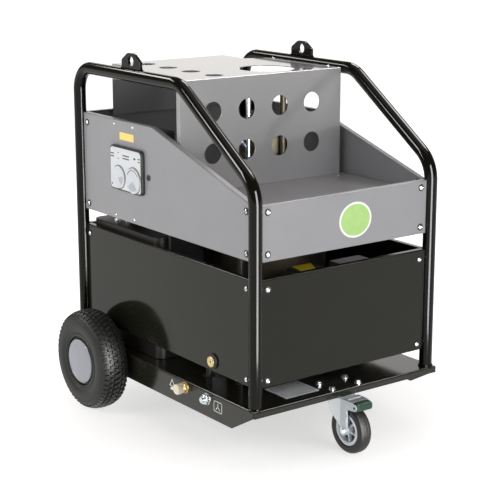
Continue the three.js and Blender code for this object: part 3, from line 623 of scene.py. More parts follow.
def frame_hoop(side):
    x = side * HOOP_X
    corners = [(x, -POST_Y, FOOT_Z), (x, -POST_Y, KNEE_Z), (x, SLOPE_TOP_Y, HOOP_TOP_Z),
               (x, POST_Y, HOOP_TOP_Z), (x, POST_Y, FOOT_Z)]
    made = Build().tube(bent(corners, HOOP_BENDS, 18), TUBE_R, 48, TUBE_R - 2.6)
    in_wall = TUBE_R - 1.6
    behind = SHEET + GAP
    for end, heights in SIDE_TABS.items():
        for z in heights:
            tall = (z - 12, z + 12)
            made.slab(across(side, HOOP_X - behind, HOOP_X - behind - 3),
                      across(end, POST_Y - in_wall, POST_Y - TUBE_R - 33), tall)
            made.slab(across(side, HOOP_X - in_wall, HOOP_X - TUBE_R - 29),
                      across(end, POST_Y - GAP, POST_Y - GAP - 3), tall)
    for y in COVER_TABS_Y:
        made.slab(across(side, HOOP_X - in_wall, 244), (y - 12, y + 12),
                  (COVER_Z - behind - 3, COVER_Z - behind))
    for y in (-POST_Y, POST_Y):
        made.bead([(a, b, FOOT_Z + 2.2) for a, b in ring(x, y, TUBE_R + 0.6, 72)], 2.0, closed=True)
    return made


def lifting_eye(side):
    low = HOOP_TOP_Z + TUBE_R + GAP
    shoulder, half_top = EYE_TOP - 19, EYE_HALF - 29.5
    outline = [(EYE_Y - EYE_HALF, low), (EYE_Y + EYE_HALF, low), (EYE_Y + EYE_HALF, shoulder),
               (EYE_Y + half_top, EYE_TOP), (EYE_Y - half_top, EYE_TOP), (EYE_Y - EYE_HALF, shoulder)]
    made = Build().prism("x", rounded(outline, 5.0, 5), across(side, HOOP_X - 4, HOOP_X + 4),
                         [ring(EYE_Y, EYE_TOP - 21, 13, 48)], edge=0.8)
    for face in (-1, 1):
        x = side * HOOP_X + face * 4.6
        made.bead([(x, EYE_Y - EYE_HALF + 2 * EYE_HALF * k / 60, low + 0.4) for k in range(61)], 2.0)
    return made


for side, word in SIDES:
    piece(word + "_hoop_tube", frame_hoop(side), BLACK, word + "_frame_hoop")
    piece(word + "_eye_plate", lifting_eye(side), BLACK, word + "_lifting_eye")


# ---- Folded panels ----

def channel(z0, z1):
    """Section of a sheet with both edges folded in: (distance inwards from the outer face, height)."""
    low, high, inner = z0 + PANEL_BEND, z1 - PANEL_BEND, PANEL_BEND - SHEET
    return ([(RETURN, z0)] + arc(PANEL_BEND, low, PANEL_BEND, 270, 180, 5)
            + arc(PANEL_BEND, high, PANEL_BEND, 180, 90, 5) + [(RETURN, z1), (RETURN, z1 - SHEET)]
            + arc(PANEL_BEND, high, inner, 90, 180, 5) + arc(PANEL_BEND, low, inner, 180, 270, 5)
            + [(RETURN, z0 + SHEET)])


def side_panel(side, z0, stations):
    return Build().loft([[(side * (HOOP_X - d), y, z) for d, z in channel(z0, z1)] for y, z1 in stations])


def end_panel(end, z0, z1):
    outer = POST_Y + SHEET
    return Build().loft([[(x, end * (outer - d), z) for d, z in channel(z0, z1)]
                         for x in (-PANEL_X, PANEL_X)])


UPPER_LINE = [(-PANEL_Y, FRONT_Z1), (SLOPE_Y - 2, UPPER_Z[1] - 0.6), (SLOPE_Y + 2, UPPER_Z[1]),
              (PANEL_Y, UPPER_Z[1])]
LOWER_LINE = [(-PANEL_Y, LOWER_Z[1]), (PANEL_Y, LOWER_Z[1])]
for side, word in SIDES:
    piece(word + "_upper_sheet", side_panel(side, UPPER_Z[0], UPPER_LINE), GREY, word + "_upper_panel")
    piece(word + "_lower_sheet", side_panel(side, LOWER_Z[0], LOWER_LINE), CHARCOAL, word + "_lower_panel")
for (end, word), top in zip(ENDS, (FRONT_Z1, UPPER_Z[1])):
    piece(word + "_upper_sheet", end_panel(end, UPPER_Z[0], top), GREY, word + "_upper_panel")
    piece(word + "_lower_sheet", end_panel(end, *LOWER_Z), CHARCOAL, word + "_lower_panel")


# ---- Base tray, storage tray and cover ----

def base_tray():
    line = [(-DECK_X, SKIRT_Z), (-DECK_X, DECK_TOP), (DECK_X, DECK_TOP), (DECK_X, SKIRT_Z)]
    path = FoldPath(line, DECK_BEND)
    bend_y, bend_z = DECK_Y - DECK_BEND, DECK_TOP - DECK_BEND
    lip = path.along(0, -DECK_X, LIP_Z)
    total = path.length
    foot_y = 329
    outline = [(-bend_y, lip), (-foot_y, 0), (foot_y, 0), (bend_y, lip),
               (bend_y, total - lip), (foot_y, total), (-foot_y, total), (-bend_y, total - lip)]
    hose_holes = [ring(PORTS[word][0], path.along(1, x, DECK_TOP), 13, 40) for word, x in HOSE_X.items()]
    made = Build().sheet(outline, path, DECK_SHEET, lambda u, a, b: (a, u, b), hose_holes)
    section = arc(bend_y, bend_z, DECK_BEND, 90, 0, 6) + [(DECK_Y, LIP_Z), (DECK_Y - DECK_SHEET, LIP_Z)]
    section += arc(bend_y, bend_z, DECK_BEND - DECK_SHEET, 0, 90, 6)
    for end in (-1, 1):
        made.loft([[(x, end * y, z) for y, z in section] for x in (-DECK_X + 1.2, DECK_X - 1.2)])
    return made


def storage_tray():
    front, notch, back = -394.0, -381.0, -50.0
    narrow = TRAY_X - 11
    floor = [(-narrow, front), (narrow, front), (narrow, notch), (TRAY_X, notch), (TRAY_X, back),
             (-TRAY_X, back), (-TRAY_X, notch), (-narrow, notch)]
    rim = (TRAY_Z - RETURN, TRAY_Z - 1)
    made = Build().prism("z", floor, (TRAY_Z - SHEET, TRAY_Z), edge=0.5)
    for side in (LEFT, RIGHT):
        made.slab(across(side, TRAY_X - SHEET, TRAY_X), (notch, back), rim, edge=0.4)
    made.slab((-narrow, narrow), (front, front + SHEET), rim, edge=0.4)
    return made.slab((-TRAY_X, TRAY_X), (back - SHEET, back), rim, edge=0.4)


def upper_cover():
    z0 = TRAY_Z + GAP
    y0, y1 = COVER_Y
    path = FoldPath([(y0, z0), (y0, COVER_Z), (y1, COVER_Z), (y1, UPPER_Z[1] - RETURN)], 4.0)

    def top(y):
        return path.along(1, y, COVER_Z)

    outline = [(-COVER_X, 0), (COVER_X, 0), (COVER_X, top(240)), (COVER_BACK_X, top(270)),
               (COVER_BACK_X, path.length), (-COVER_BACK_X, path.length),
               (-COVER_BACK_X, top(270)), (-COVER_X, top(240))]
    columns = [0.4 + k * HOLE_PITCH for k in (-1.5, -0.5, 0.5, 1.5)]
    holes = [ring(x, path.along(0, y0, z), 26.5, 56) for z in (836.5, 730.0) for x in columns]
    holes += [ring(-118, top(-8 + k * HOLE_PITCH), 25.0, 56) for k in range(4)]
    holes.append(ring(BOILER_X, top(BOILER_Y), 75.0, 96))
    made = Build().sheet(outline, path, SHEET, lambda u, a, b: (u, a, b), holes, edge=0.4)
    for side in (LEFT, RIGHT):
        made.slab(across(side, COVER_X - SHEET, COVER_X), (y0 + 1.2, y0 + RETURN),
                  (z0, COVER_Z - 2.4), edge=0.4)
        made.slab(across(side, COVER_BACK_X - SHEET, COVER_BACK_X), (272, y1 - 2),
                  (COVER_Z - 14, COVER_Z - 1.2), edge=0.4)
    return made


def type_plate():
    """A riveted plate on the deck, and the frame and blank lines printed on it."""
    a, b = -123, -343
    plate = Build().prism("z", rounded_rect(a, b, 106, 90, 3), (FOOT_Z, FOOT_Z + 1), edge=0.3)
    rivet = [(0, 169.4), (1.4, 169.2), (2.3, 168.2), (0, 168.2)]
    for x in (a - 46, a + 46):
        for y in (b - 38, b + 38):
            plate.turned("z", rivet, (x, y), 20, 0.2)
    printed = (FOOT_Z + 0.9, FOOT_Z + 1.12)
    lines = Build().prism("z", rounded_rect(a, b, 88, 74, 2), printed,
                          [rounded_rect(a, b, 86.4, 72.4, 1.5)], 0.04)
    for k in range(5):
        y = b - 22.6 + 12 * k
        lines.prism("z", rect(a - 43.4, a + 43.4, y, y + 0.6), printed, edge=0.04)
    return plate, lines


piece("deck_and_skirts", base_tray(), DECK, "base_tray")
plate, lines = type_plate()
piece("type_plate", plate, PLATE_METAL, "data_plate")
piece("type_plate_lines", lines, PRINT)
piece("storage_floor", storage_tray(), GREY, "storage_tray")
piece("vented_cover", upper_cover(), COVER, "upper_cover")


# ---- Panel screws with cup washers ----

def screw_head(r, height, socket):
    profile = [(0, height * 0.35), (socket, height * 0.35), (socket, height * 0.9), (socket + 0.4, height),
               (r * 0.6, height * 0.95), (r * 0.9, height * 0.62), (r, height * 0.25), (r, -0.2), (0, -0.2)]
    return Build().turned("z", profile, (0, 0), 32, 0.3)


def cup_washer(r, height, bore):
    profile = [(bore, -0.1), (r, -0.1), (r, 0.5), (r - 1.2, height), (bore + 0.6, height * 0.8),
               (bore, height * 0.5)]
    return Build().turned("z", profile, (0, 0), 40, 0.25)


SCREW = mesh_of("panel_screw", screw_head(6.2, 4.0, 2.6), SCALE)
WASHER = mesh_of("cup_washer", cup_washer(9.2, 2.0, 5.0), SCALE)
SMALL_SCREW = mesh_of("small_screw", screw_head(3.6, 2.4, 1.3), SCALE)
FACING = {"left": (-1, 0, 0), "right": (1, 0, 0), "front": (0, -1, 0), "rear": (0, 1, 0), "up": (0, 0, 1)}


def standing(spot, way):
    turn = Vector(FACING[way]).to_track_quat("Z", "Y").to_matrix().to_4x4()
    return Matrix.Translation(TO_ROW @ Vector(spot)) @ turn


def fasten(name, spot, way):
    place(name + "_screw", SCREW, ZINC, matrix=standing(spot, way))
    place(name + "_washer", WASHER, BLACK_PLASTIC, matrix=standing(spot, way))


def small_screws(name, spots, way):
    for k, spot in enumerate(spots):
        place(f"{name}_{k + 1}", SMALL_SCREW, ZINC, matrix=standing(spot, way))


for side, word in SIDES:
    for end, end_word in ENDS:
        for k, z in enumerate(SIDE_TABS[end]):
            fasten(f"{word}_{end_word}_{k + 1}", (side * HOOP_X, end * 364, z), word)
    for end, end_word in ENDS:
        for k, z in enumerate(SIDE_TABS[end]):
            fasten(f"{end_word}_{word}_{k + 1}", (side * 245, end * (POST_Y + SHEET), z), end_word)
    small_screws("cover_screw_" + word, [(side * 253, y, COVER_Z) for y in COVER_TABS_Y], "up")
    small_screws("tray_screw_" + word, [(side * 236, y, TRAY_Z) for y in (-370, -86)], "up")
small_screws("box_screw", [(-HOOP_X, y, z) for z in (783.5, 538) for y in (224, 133.5)], "left")


# ---- Labels: plain, with no lettering ----

def emblem(r, height, y0, y1):
    return Build().prism("y", ring(26, 594, r, 96, height / r), (y0, y1), edge=0.05)


SKIRT_FACE = (-DECK_X - 0.3, -DECK_X + 0.1)


def mark(y, z, size):
    """A plain outlined triangle over a small foot."""
    high, low = z + size * 0.5, z - size * 0.18
    triangle = [(y - size * 0.42, low), (y + size * 0.42, low), (y, high)]
    inner = [(y - size * 0.30, low + 1.6), (y + size * 0.30, low + 1.6), (y, high - 3.4)]
    made = Build().prism("x", rounded(triangle, 1.5), SKIRT_FACE, [rounded(inner, 1.0)], 0.05)
    foot = [(y - size * 0.3, z - size * 0.5), (y + size * 0.3, z - size * 0.5), (y + size * 0.16, low - 2.2),
            (y - size * 0.16, low - 2.2)]
    return made.prism("x", foot, SKIRT_FACE, edge=0.05)


def framed_mark(y, z, width, height):
    """A plain outlined field with a forked stroke inside."""
    made = Build().prism("x", rounded_rect(y, z, width, height, 5), SKIRT_FACE,
                         [rounded_rect(y, z, width - 3, height - 3, 3.6)], 0.05)
    made.prism("x", rect(y - 0.8, y + 0.8, z, z + height * 0.32), SKIRT_FACE, edge=0.05)
    for way in (-1, 1):
        low = z - height * 0.3
        leg = [(y, z + 1), (y, z - 1), (y + way * 7.5, low), (y + way * 9, low + 1.4)]
        made.prism("x", leg, SKIRT_FACE, edge=0.05)
    return made


piece("front_round_label_rim", emblem(52, 45, FRONT_FACE - 0.35, FRONT_FACE + 0.1), WHITE_LABEL)
piece("front_round_label", emblem(46.5, 39.8, FRONT_FACE - 0.6, FRONT_FACE - 0.2), GREEN_LABEL)
label = Build().prism("x", rounded_rect(162.5, 755, 69, 20, 2), (-HOOP_X - 0.4, -HOOP_X + 0.1), edge=0.05)
piece("blank_side_label", label, YELLOW_LABEL)
piece("inlet_mark", mark(-67.5, 141.4, 30), WHITE_LABEL)
piece("outlet_mark", framed_mark(-271, 138.1, 35, 28), WHITE_LABEL)


# ---- Control unit ----

def control_slab(width, height, corner, x, edge):
    holes = [ring(y, z, 6, 32) for y, z, _ in (POWER, HEAT)]
    return Build().prism("x", rounded_rect(CONTROL_Y, CONTROL_Z, width, height, corner, 8), x, holes, edge)


def dial(y, z, r):
    back = CONTROL_FRONT - GAP
    profile = [(0, DIAL_FACE + 0.5), (r - 6, DIAL_FACE + 0.5), (r - 4.6, DIAL_FACE), (r - 1.2, DIAL_FACE),
               (r, DIAL_FACE + 1.4), (r, back), (0, back)]
    return Build().turned("x", profile, (y, z), 96, 0.5).rod("x", (y, z), 5, (back - 1, -281))


def arc_line(y, z, r, start, end, width=1.6):
    """A thin printed arc."""
    return arc(y, z, r + width, start, end, 40) + arc(y, z, r, end, start, 40)


def dial_painted_shade(y, z, r, start, end):
    """A thin darker sector on a dial's face: painted shade on part of the dial."""
    outline = [(y, z)] + arc(y, z, r - 6.5, start, end, 24)
    return Build().prism("x", outline, (DIAL_FACE + 0.2, DIAL_FACE + 0.9), edge=0.05)


def control_marks():
    """Plain bars, dots and a diamond on the control plate, and arcs about the dials."""
    outlines = [rect(y0, y1, z - 1.6, z + 1.6) for y0, y1 in ((210, 226.5), (135.3, 167), (82.5, 93))
                for z in (699.6, 707.2)]
    diamond = [(101.8, 705.2), (108.8, 701.7), (115.8, 705.2), (108.8, 708.7)]
    outlines += [ring(188.7, 712.1, 2.4, 16), rect(185, 191, 695.3, 697.7), diamond,
                 ring(221.6, 625.3, 3.0, 20)]
    for (y, z, r), start, end in ((POWER, 320, 40), (HEAT, 165, 15), (HEAT, 330, 210)):
        outlines.append(arc_line(y, z, r + 0.6, start, end))
    made = Build()
    for outline in outlines:
        made.prism("x", outline, (CONTROL_FRONT - 0.15, CONTROL_FRONT + 0.2), edge=0.04)
    return made


piece("control_frame", control_slab(156, 118, 12, (-289, -280.3), 1.2), BLACK_PLASTIC, "control_bezel")
face = control_slab(147, 110, 10, (CONTROL_FRONT, -289.3), 0.6)
piece("control_face", face, WHITE_PLASTIC, "control_plate")
piece("power_dial", dial(*POWER), DIAL, "power_knob", body="power_switch")
piece("thermostat_dial", dial(*HEAT), DIAL, "thermostat_knob", body="thermostat")
dial_arc = Build().prism("x", arc_line(HEAT[0], HEAT[1], HEAT[2] - 7, 150, 30, 1.4),
                         (DIAL_FACE - 0.1, DIAL_FACE + 0.8), edge=0.04)
piece("thermostat_dial_arc", dial_arc, PRINT, body="thermostat")
# Painted shade on the dials: darker grey sectors that ride with each knob.
piece("power_dial_painted_shade", dial_painted_shade(*POWER, 235, 170), DIAL_PAINTED_SHADE, body="power_switch")
piece("thermostat_dial_painted_shade", dial_painted_shade(*HEAT, 320, 225), DIAL_PAINTED_SHADE, body="thermostat")
piece("control_marks", control_marks(), PRINT)

plug_face = -HOOP_X - GAP
plug = [(0, plug_face - 1.6), (3.4, plug_face - 1.6), (4.4, plug_face - 3), (6.5, plug_face - 3),
        (8, plug_face - 1.5), (8, plug_face), (6, plug_face), (6, -274), (0, -274)]
piece("hole_plug", Build().turned("x", plug, (57.5, 662.5), 40, 0.4), BLACK_PLASTIC, "panel_plug")
contactor = Build().prism("x", rounded_rect(154, 660, 172, 230, 8), (-277.7, -190), edge=3)
piece("contactor_box", contactor, BLACK_PLASTIC, "electrical_box")


# ---- Drain, water inlet and outlet ----

grommet = [(12.3, -286), (18.5, -286), (20, -284.5), (20, -280.3), (16.4, -280.3), (16.4, -277.7),
           (18.5, -277.7), (18.5, -273.5), (12.3, -273.5)]
bung = [(0, -287.2), (3.2, -287.2), (3.2, -289.2), (4, -290), (10.6, -290), (11.2, -289.7), (12.8, -289.7),
        (14, -288.6), (14, -286.3), (12, -286.3), (12, -270), (0, -270)]
piece("drain_ring", Build().turned("x", grommet, DRAIN, 56, 0.8), RUBBER, "drain_grommet")
piece("drain_bung", Build().turned("x", bung, DRAIN, 56, 0.3), BRASS, "drain_plug")
# A dark rubber hexagon in the bung's recess: painted shade in the socket.
piece("drain_bung_socket_painted_shade", Build().nut("x", DRAIN, 6, (-288.2, -287), 0, 0.2), RUBBER, slotted=False)


def bulkhead(spot, tip, threads):
    """A threaded union through the skirt, with a nut on each side and a hose barb inside."""
    outer = -DECK_X - GAP
    inner = -DECK_X + DECK_SHEET + GAP
    made = Build().nut("x", spot, 25, (outer - 9, outer), 1.2, 0.9)
    made.rod("x", spot, 15.2, (outer - 1.6, outer), 48, 0.5)
    line = [(0, tip), (7.5, tip), (7.5, tip + 4), (9.2, tip + 4)]
    for k in range(threads):
        start = tip + 5 + k * 1.8
        line += [(10.9, start), (10.0, start + 0.9)]
    line += [(10.9, outer - 8), (0, outer - 8)]
    made.turned("x", line, spot, 40, 0.25)
    made.rod("x", spot, 9.6, (outer - 1, -280))
    made.nut("x", spot, 23, (inner, inner + 8), 1.2, 0.9)
    for k in range(3):
        start = -280 + 6 * k
        made.turned("x", [(0, start), (7.2, start), (6.0, start + 6), (0, start + 6)], spot, 28, 0.3)
    return made


piece("inlet_union", bulkhead(PORTS["inlet"], -322, 5), BRASS, "inlet_fitting")
piece("outlet_union", bulkhead(PORTS["outlet"], -318, 3), ZINC, "outlet_fitting")
cap = [(0, -328.2), (9, -328.2), (11.6, -329), (13.2, -327.6), (13.2, -313), (11.4, -313), (11.4, -325.3),
       (0, -325.3)]
dust_cap = Build().turned("x", cap, PORTS["inlet"], 48, 0.5)
for spot in ring(*PORTS["inlet"], 12.2, 10):
    dust_cap.rod("x", spot, 1.8, (-327.4, -314), 12, 0.6)
piece("inlet_dust_cap", dust_cap, CREAM_PLASTIC, "inlet_cap", body="dust_cap")

for word, port_z in zip(PORTS, BOILER_PORTS_Z):
    x = HOSE_X[word]
    y, z = PORTS[word]
    inside = BOILER_PORT_Y
    corners = [(-261.7, y, z), (x, y, z), (x, y, port_z), (x, inside, port_z), (-110.3, inside, port_z)]
    hose = Build().tube(bent(corners, (20, 28, 28), 10), 8, 24, 4.5)
    piece(word + "_water_hose", hose, RUBBER, word + "_hose")
    clips = Build()
    for at, (a, b) in ((-255, (y, z)), (-124, (inside, port_z))):
        clips.rod("x", (a, b), 8.9, (at, at + 9), 36, 0.2, bore=8.05)
        clips.slab((at + 1, at + 8), (a - 3, a + 3), (b + 8, b + 14))
    guard = [(8.3, 162.5), (15.5, 162.5), (15.5, 163.7), (12.7, 163.7), (12.7, DECK_TOP + 0.3),
             (15.5, DECK_TOP + 0.3), (15.5, DECK_TOP + 1.8), (8.3, DECK_TOP + 1.8)]
    piece(word + "_hose_grommet", Build().turned("z", guard, (x, y), 40, 0.5), RUBBER)
    piece(word + "_hose_clips", clips, STEEL)


# ---- Boiler ----

def boiler():
    x, y, r, wall, top = BOILER_X, BOILER_Y, BOILER_R, 3.0, BOILER_TOP
    profile = [(0, FOOT_Z), (r, FOOT_Z), (r, 196), (r + 1.5, 199), (r + 1.5, 203), (r, 206), (r, top - 36),
               (r + 1.5, top - 33), (r + 1.5, top - 29), (r, top - 26), (r, top), (FLUE_R, top),
               (FLUE_R, top - wall), (r - wall, top - wall), (r - wall, FOOT_Z + wall), (0, FOOT_Z + wall)]
    made = Build().turned("z", profile, (x, y), 96, 0.8)
    for z in BOILER_PORTS_Z:
        made.rod("x", (BOILER_PORT_Y, z), 12, (-110, x - r + 12), 32)
        made.nut("x", (BOILER_PORT_Y, z), 26, (-106, -98), 0)
    for spot in ring(x, y, 150, 12, start=math.pi / 12):
        made.stud("z", spot, top, 3.6, 3)
    return made


def safety_valve(x, y):
    made = Build()
    for low, high, width in ((600, 604, 34), (604, 622, 24), (640, 652, 27), (676, 686, 24)):
        made.nut("z", (x, y), width, (low, high), 1.0)
    made.rod("z", (x, y), 8, (620, 642), 32)
    made.rod("z", (x, y), 12, (651, 677), 40, 1.0)
    return made.rod("y", (x, 646), 7, (y - 26, y), 28)


piece("boiler_shell", boiler(), HEATED, "boiler_casing")
outer = FLUE_R + 1
flue = [(FLUE_R - 2, 600.3), (outer + 13, 600.3), (outer + 13, 604.3), (outer + 1, 606), (outer, 612),
        (outer, 690), (outer + 1.6, 692), (outer + 1.6, 697), (outer, 699), (outer, 783),
        (outer + 0.8, 785), (FLUE_R - 2, 785)]
piece("flue_duct", Build().turned("z", flue, (BOILER_X, BOILER_Y), 80, 0.5), HEATED, "flue_pipe")
coil_turns, coil_pitch, coil_steps = 6, 28, 40
helix = []
for k in range(coil_turns * coil_steps + 1):
    t = 2 * math.pi * k / coil_steps
    z = 400 + coil_pitch * k / coil_steps
    helix.append((BOILER_X + 135 * math.cos(t), BOILER_Y + 135 * math.sin(t), z))
piece("water_coil", Build().tube(helix, 10.5, 16), STEEL, "heating_coil")

vx, vy = -15.0, -10.0
piece("safety_valve", safety_valve(vx, vy), BRASS)
corners = [(vx, vy, 684), (vx, vy, 738), (vx - 96, vy + 70, 738), (vx - 96, vy + 70, 640)]
piece("pressure_line", Build().tube(bent(corners, (24, 22), 10), 5.5, 20), WIRE)
riser_spot = (-36, -44)
riser = Build().rod("z", riser_spot, 6, (BOILER_TOP + 0.5, 905), 28)
riser.nut("z", riser_spot, 17, (BOILER_TOP, BOILER_TOP + 14))
riser.nut("z", riser_spot, 17, (893, 907))
piece("vent_riser", riser, ZINC)
stay = [(5.4, TRAY_Z + 0.3), (11, TRAY_Z + 0.3), (11, TRAY_Z + 3), (8, TRAY_Z + 3.4), (8, 914), (5.4, 914)]
piece("cover_stay", Build().turned("z", stay, (74.5, -48.2), 36, 0.5), HEATED)


# ---- Burner ----

def burner_drum():
    x, half, r = BOILER_X, 40.0, BURNER_R
    low, high = x - half, x + half
    shell = [(r - 4, low + 4), (r - 4, high - 4), (45, high - 4), (45, high), (r - 3, high), (r, high - 3),
             (r, low + 3), (r - 3, low), (9, low), (9, low + 4)]
    made = Build().turned("x", shell, BURNER_AXIS, 72, 1.0)
    throat = rounded_rect(x, BLAST_Z, 2 * half, 110, 8)
    made.prism("y", throat, (BURNER_Y + r - 22, BURNER_Y + r + 3), [ring(x, BLAST_Z, 33, 48)], edge=1.5)
    for spot in ring(*BURNER_AXIS, 76, 8, start=0.3):
        made.stud("x", spot, high, 3.2, 2.4)
    return made


def fan_wheel():
    x = BOILER_X
    back = [(0, x - 28), (66, x - 28), (66, x - 26), (20, x - 22), (0, x - 22)]
    made = Build().turned("x", back, BURNER_AXIS, 56, 0.5)
    made.rod("x", BURNER_AXIS, 66, (x + 26, x + 28), 56, 0.3, bore=55)
    for k in range(32):
        t = 2 * math.pi * k / 32
        blade = [(BURNER_Y + r * math.cos(t + lean), BURNER_Z + r * math.sin(t + lean)) for r, lean in
                 ((55, 0.0), (60, 0.06), (65.5, 0.16), (65.5, 0.18), (60, 0.08), (55, 0.02))]
        made.prism("x", blade, (x - 26.5, x + 26.5), edge=0.1)
    return made.rod("x", BURNER_AXIS, 8, (43, x - 24), 28)


def motor():
    low, high, r = -70.0, 42.7, 48.0
    line = [(0, low), (r - 12, low), (r - 4, low + 6), (r, low + 10)]
    for k in range(9):
        start = low + 14 + k * 9
        line += [(r, start), (r, start + 3.5), (r - 4, start + 4.5), (r - 4, start + 8)]
    line += [(r, high - 12), (r, high), (0, high)]
    made = Build().turned("x", line, BURNER_AXIS, 64, 0.4)
    return made.slab((-60, 30), (BURNER_Y - 20, BURNER_Y + 20), (BURNER_Z + 40, BURNER_Z + 54), edge=2)


def pump():
    end = -70 - GAP
    line = [(0, end - 44), (22, end - 44), (27, end - 40), (27, end - 30), (24, end - 28), (24, end - 8),
            (27, end - 6), (27, end), (0, end)]
    made = Build().turned("x", line, BURNER_AXIS, 48, 0.8)
    made.slab((end - 36, end - 12), (BURNER_Y - 12, BURNER_Y + 12), (BURNER_Z + 20, BURNER_Z + 38), edge=1.5)
    return made.nut("x", BURNER_AXIS, 20, (end - 54, end - 43), 1, 1)


def stacked(a, b, layers):
    """Rounded boxes on one centre: (width, depth, corner, low, high, edge) each."""
    made = Build()
    for width, depth, corner, low, high, edge in layers:
        made.prism("z", rounded_rect(a, b, width, depth, corner), (low, high), edge=edge)
    return made


piece("burner_drum", burner_drum(), CASTING, "burner_housing")
piece("fan_wheel", fan_wheel(), STEEL, "blower_fan", body="fan")
piece("finned_motor", motor(), CASTING, "burner_motor")
piece("oil_pump", pump(), CASTING, "fuel_pump")
start_y = BURNER_Y + BURNER_R + 3 + GAP
blast = [(42, start_y), (45, start_y), (45, -138), (62, -136), (62, -130), (45, -129), (45, -116), (42, -116)]
piece("blast_pipe", Build().turned("y", blast, (BOILER_X, BLAST_Z), 64, 0.8), STEEL, "blast_tube")
base = BURNER_Z + 54 + GAP
spark = stacked(-15, BURNER_Y, [(88, 76, 6, base, base + 88, 2.5), (80, 68, 5, base + 86, base + 96, 2)])
for x in (-34, 4):
    spark.rod("z", (x, BURNER_Y - 20), 6, (base + 94, base + 96), 24)
piece("spark_transformer", spark, BLACK_PLASTIC, "ignition_transformer")
base = BURNER_Z + BURNER_R + GAP
relay = stacked(135, BURNER_Y, [(110, 70, 5, base, base + 20, 1.5), (106, 66, 6, base + 19, base + 62, 3)])
piece("burner_relay", relay, RELAY_PLASTIC, "burner_control")
label_corners = [(-40, -234), (22, -234), (-8, -296), (-52, -298)]
transformer_label = Build().prism("z", rounded(label_corners, 1.5), (450.2, 450.6), edge=0.05)
piece("transformer_label", transformer_label, BRIGHT_LABEL)


# ---- Fuel system ----

def tank():
    x, y, wall, z0, z1 = (-261.0, -100.0), (50.0, 380.0), 5.0, FOOT_Z, 500.0
    middle = (sum(x) / 2, sum(y) / 2)
    width, depth = x[1] - x[0], y[1] - y[0]
    outer = rounded_rect(*middle, width, depth, 22, 8)
    inner = rounded_rect(*middle, width - 2 * wall, depth - 2 * wall, 17, 8)
    made = Build().prism("z", outer, (z0, z0 + wall), edge=2)
    made.prism("z", outer, (z0 + wall - 1.5, z1 - wall + 1.5), [inner], edge=0.4)
    made.prism("z", outer, (z1 - wall, z1), [ring(*TANK_CAP, 18, 48)], edge=2)
    for z in (270, 390):
        made.prism("z", rounded_rect(*middle, width - 0.2, depth + 3, 22, 8), (z, z + 10), [inner], edge=2)
    return made.rod("z", TANK_CAP, 22, (z1 - 2, 530), 48, 0.6, bore=18)


piece("oil_tank", tank(), TANK_PLASTIC, "fuel_tank")
cap = [(0, 538), (8, 538), (23, 537), (25.4, 534), (25.4, 503), (22.4, 503), (22.4, 530.3), (0, 530.3)]
tank_cap = Build().turned("z", cap, TANK_CAP, 60, 0.8)
for spot in ring(*TANK_CAP, 25.3, 24):
    tank_cap.rod("z", spot, 1.6, (506, 532), 10, 0.4)
piece("tank_screw_cap", tank_cap, BLACK_PLASTIC, "fuel_cap", body="tank_cap")
x = -232
feed = bent([(x, 296, 512), (x, 296, 522), (x, 60, 522), (x, 34, 522), (x, 34, 330)], (6, 20, 20), 8)
piece("tank_feed_line", Build().tube(feed, 4, 16), RUBBER)
tank_fittings = Build()
for spot in ((x, 296), (-214, 268)):
    tank_fittings.nut("z", spot, 17, (500, 508)).rod("z", spot, 5.4, (507, 514), 24)
piece("tank_fittings", tank_fittings, ZINC)
filter_line = [(0, FOOT_Z), (16, FOOT_Z), (16, 193), (18, 196), (24, 200), (24, 258), (22.5, 260), (24, 262),
               (19, 268), (9, 268), (9, 280), (0, 280)]
piece("oil_filter", Build().turned("z", filter_line, (-150, -60), 48, 0.8), WHITE_PLASTIC, "fuel_filter")


# ---- Rear wheels ----

TREAD_PITCHES = 52
PITCH_STEPS = 12
TREAD_ROWS = ((35.2, 24.8, 3), (21.2, 13.0, 2), (9.4, 0.0, 1))


def stands(row, phase):
    """Whether a tread block stands at this phase of the pitch, for a row across the tread."""
    return 0 < (phase + (6 if row % 2 else 0)) % PITCH_STEPS < 7


def tyre(side):
    """Half a section as (radius, distance from the middle, tread row, block height), mirrored and turned."""
    segments = TREAD_PITCHES * PITCH_STEPS
    wall = [(66.8, 35.0), (68, 37.6), (70.5, 38.6), (73, 38.8), (74, 40.4), (77.5, 40.6), (78.6, 39.4),
            (80, 39.2), (86, 41.6), (93, 42.7), (100, 43.0), (107, 42.5), (112, 41.4), (113, 42.0),
            (115.5, 41.4), (116.5, 39.8)]

    def at(w, row=0, height=0.0):
        return 131.4 - 0.0041 * w * w - 0.0000022 * w ** 4, w, row, height

    half = [(r, w, 0, 0.0) for r, w in wall] + [at(38.6)]
    for outer, inner, row in TREAD_ROWS:
        half.append(at(outer))
        for k in range(5):
            w = outer - 0.5 + (inner - outer + (1.0 if inner else 0.5)) * k / 4
            half.append(at(w, row, 5.6 if row < 3 else 5.0))
        if inner:
            half.append(at(inner))
    full = half + [(r, -w, row, height) for r, w, row, height in reversed(half[:-1])]
    middle = sum(WHEEL_X) / 2
    verts = []
    for r, w, row, height in full:
        shift = 3 if w < 0 and row else 0
        for k in range(segments):
            up = height if height and stands(row, (k + shift) % PITCH_STEPS) else 0.0
            t = 2 * math.pi * k / segments
            reach = min(r + up, WHEEL_R)
            verts.append((side * (middle + w), WHEEL_Y + reach * math.cos(t), WHEEL_Z + reach * math.sin(t)))
    rows = [[i * segments + k for k in range(segments)] for i in range(len(full))]
    return Build().faces(verts, strips(rows, closed=True))


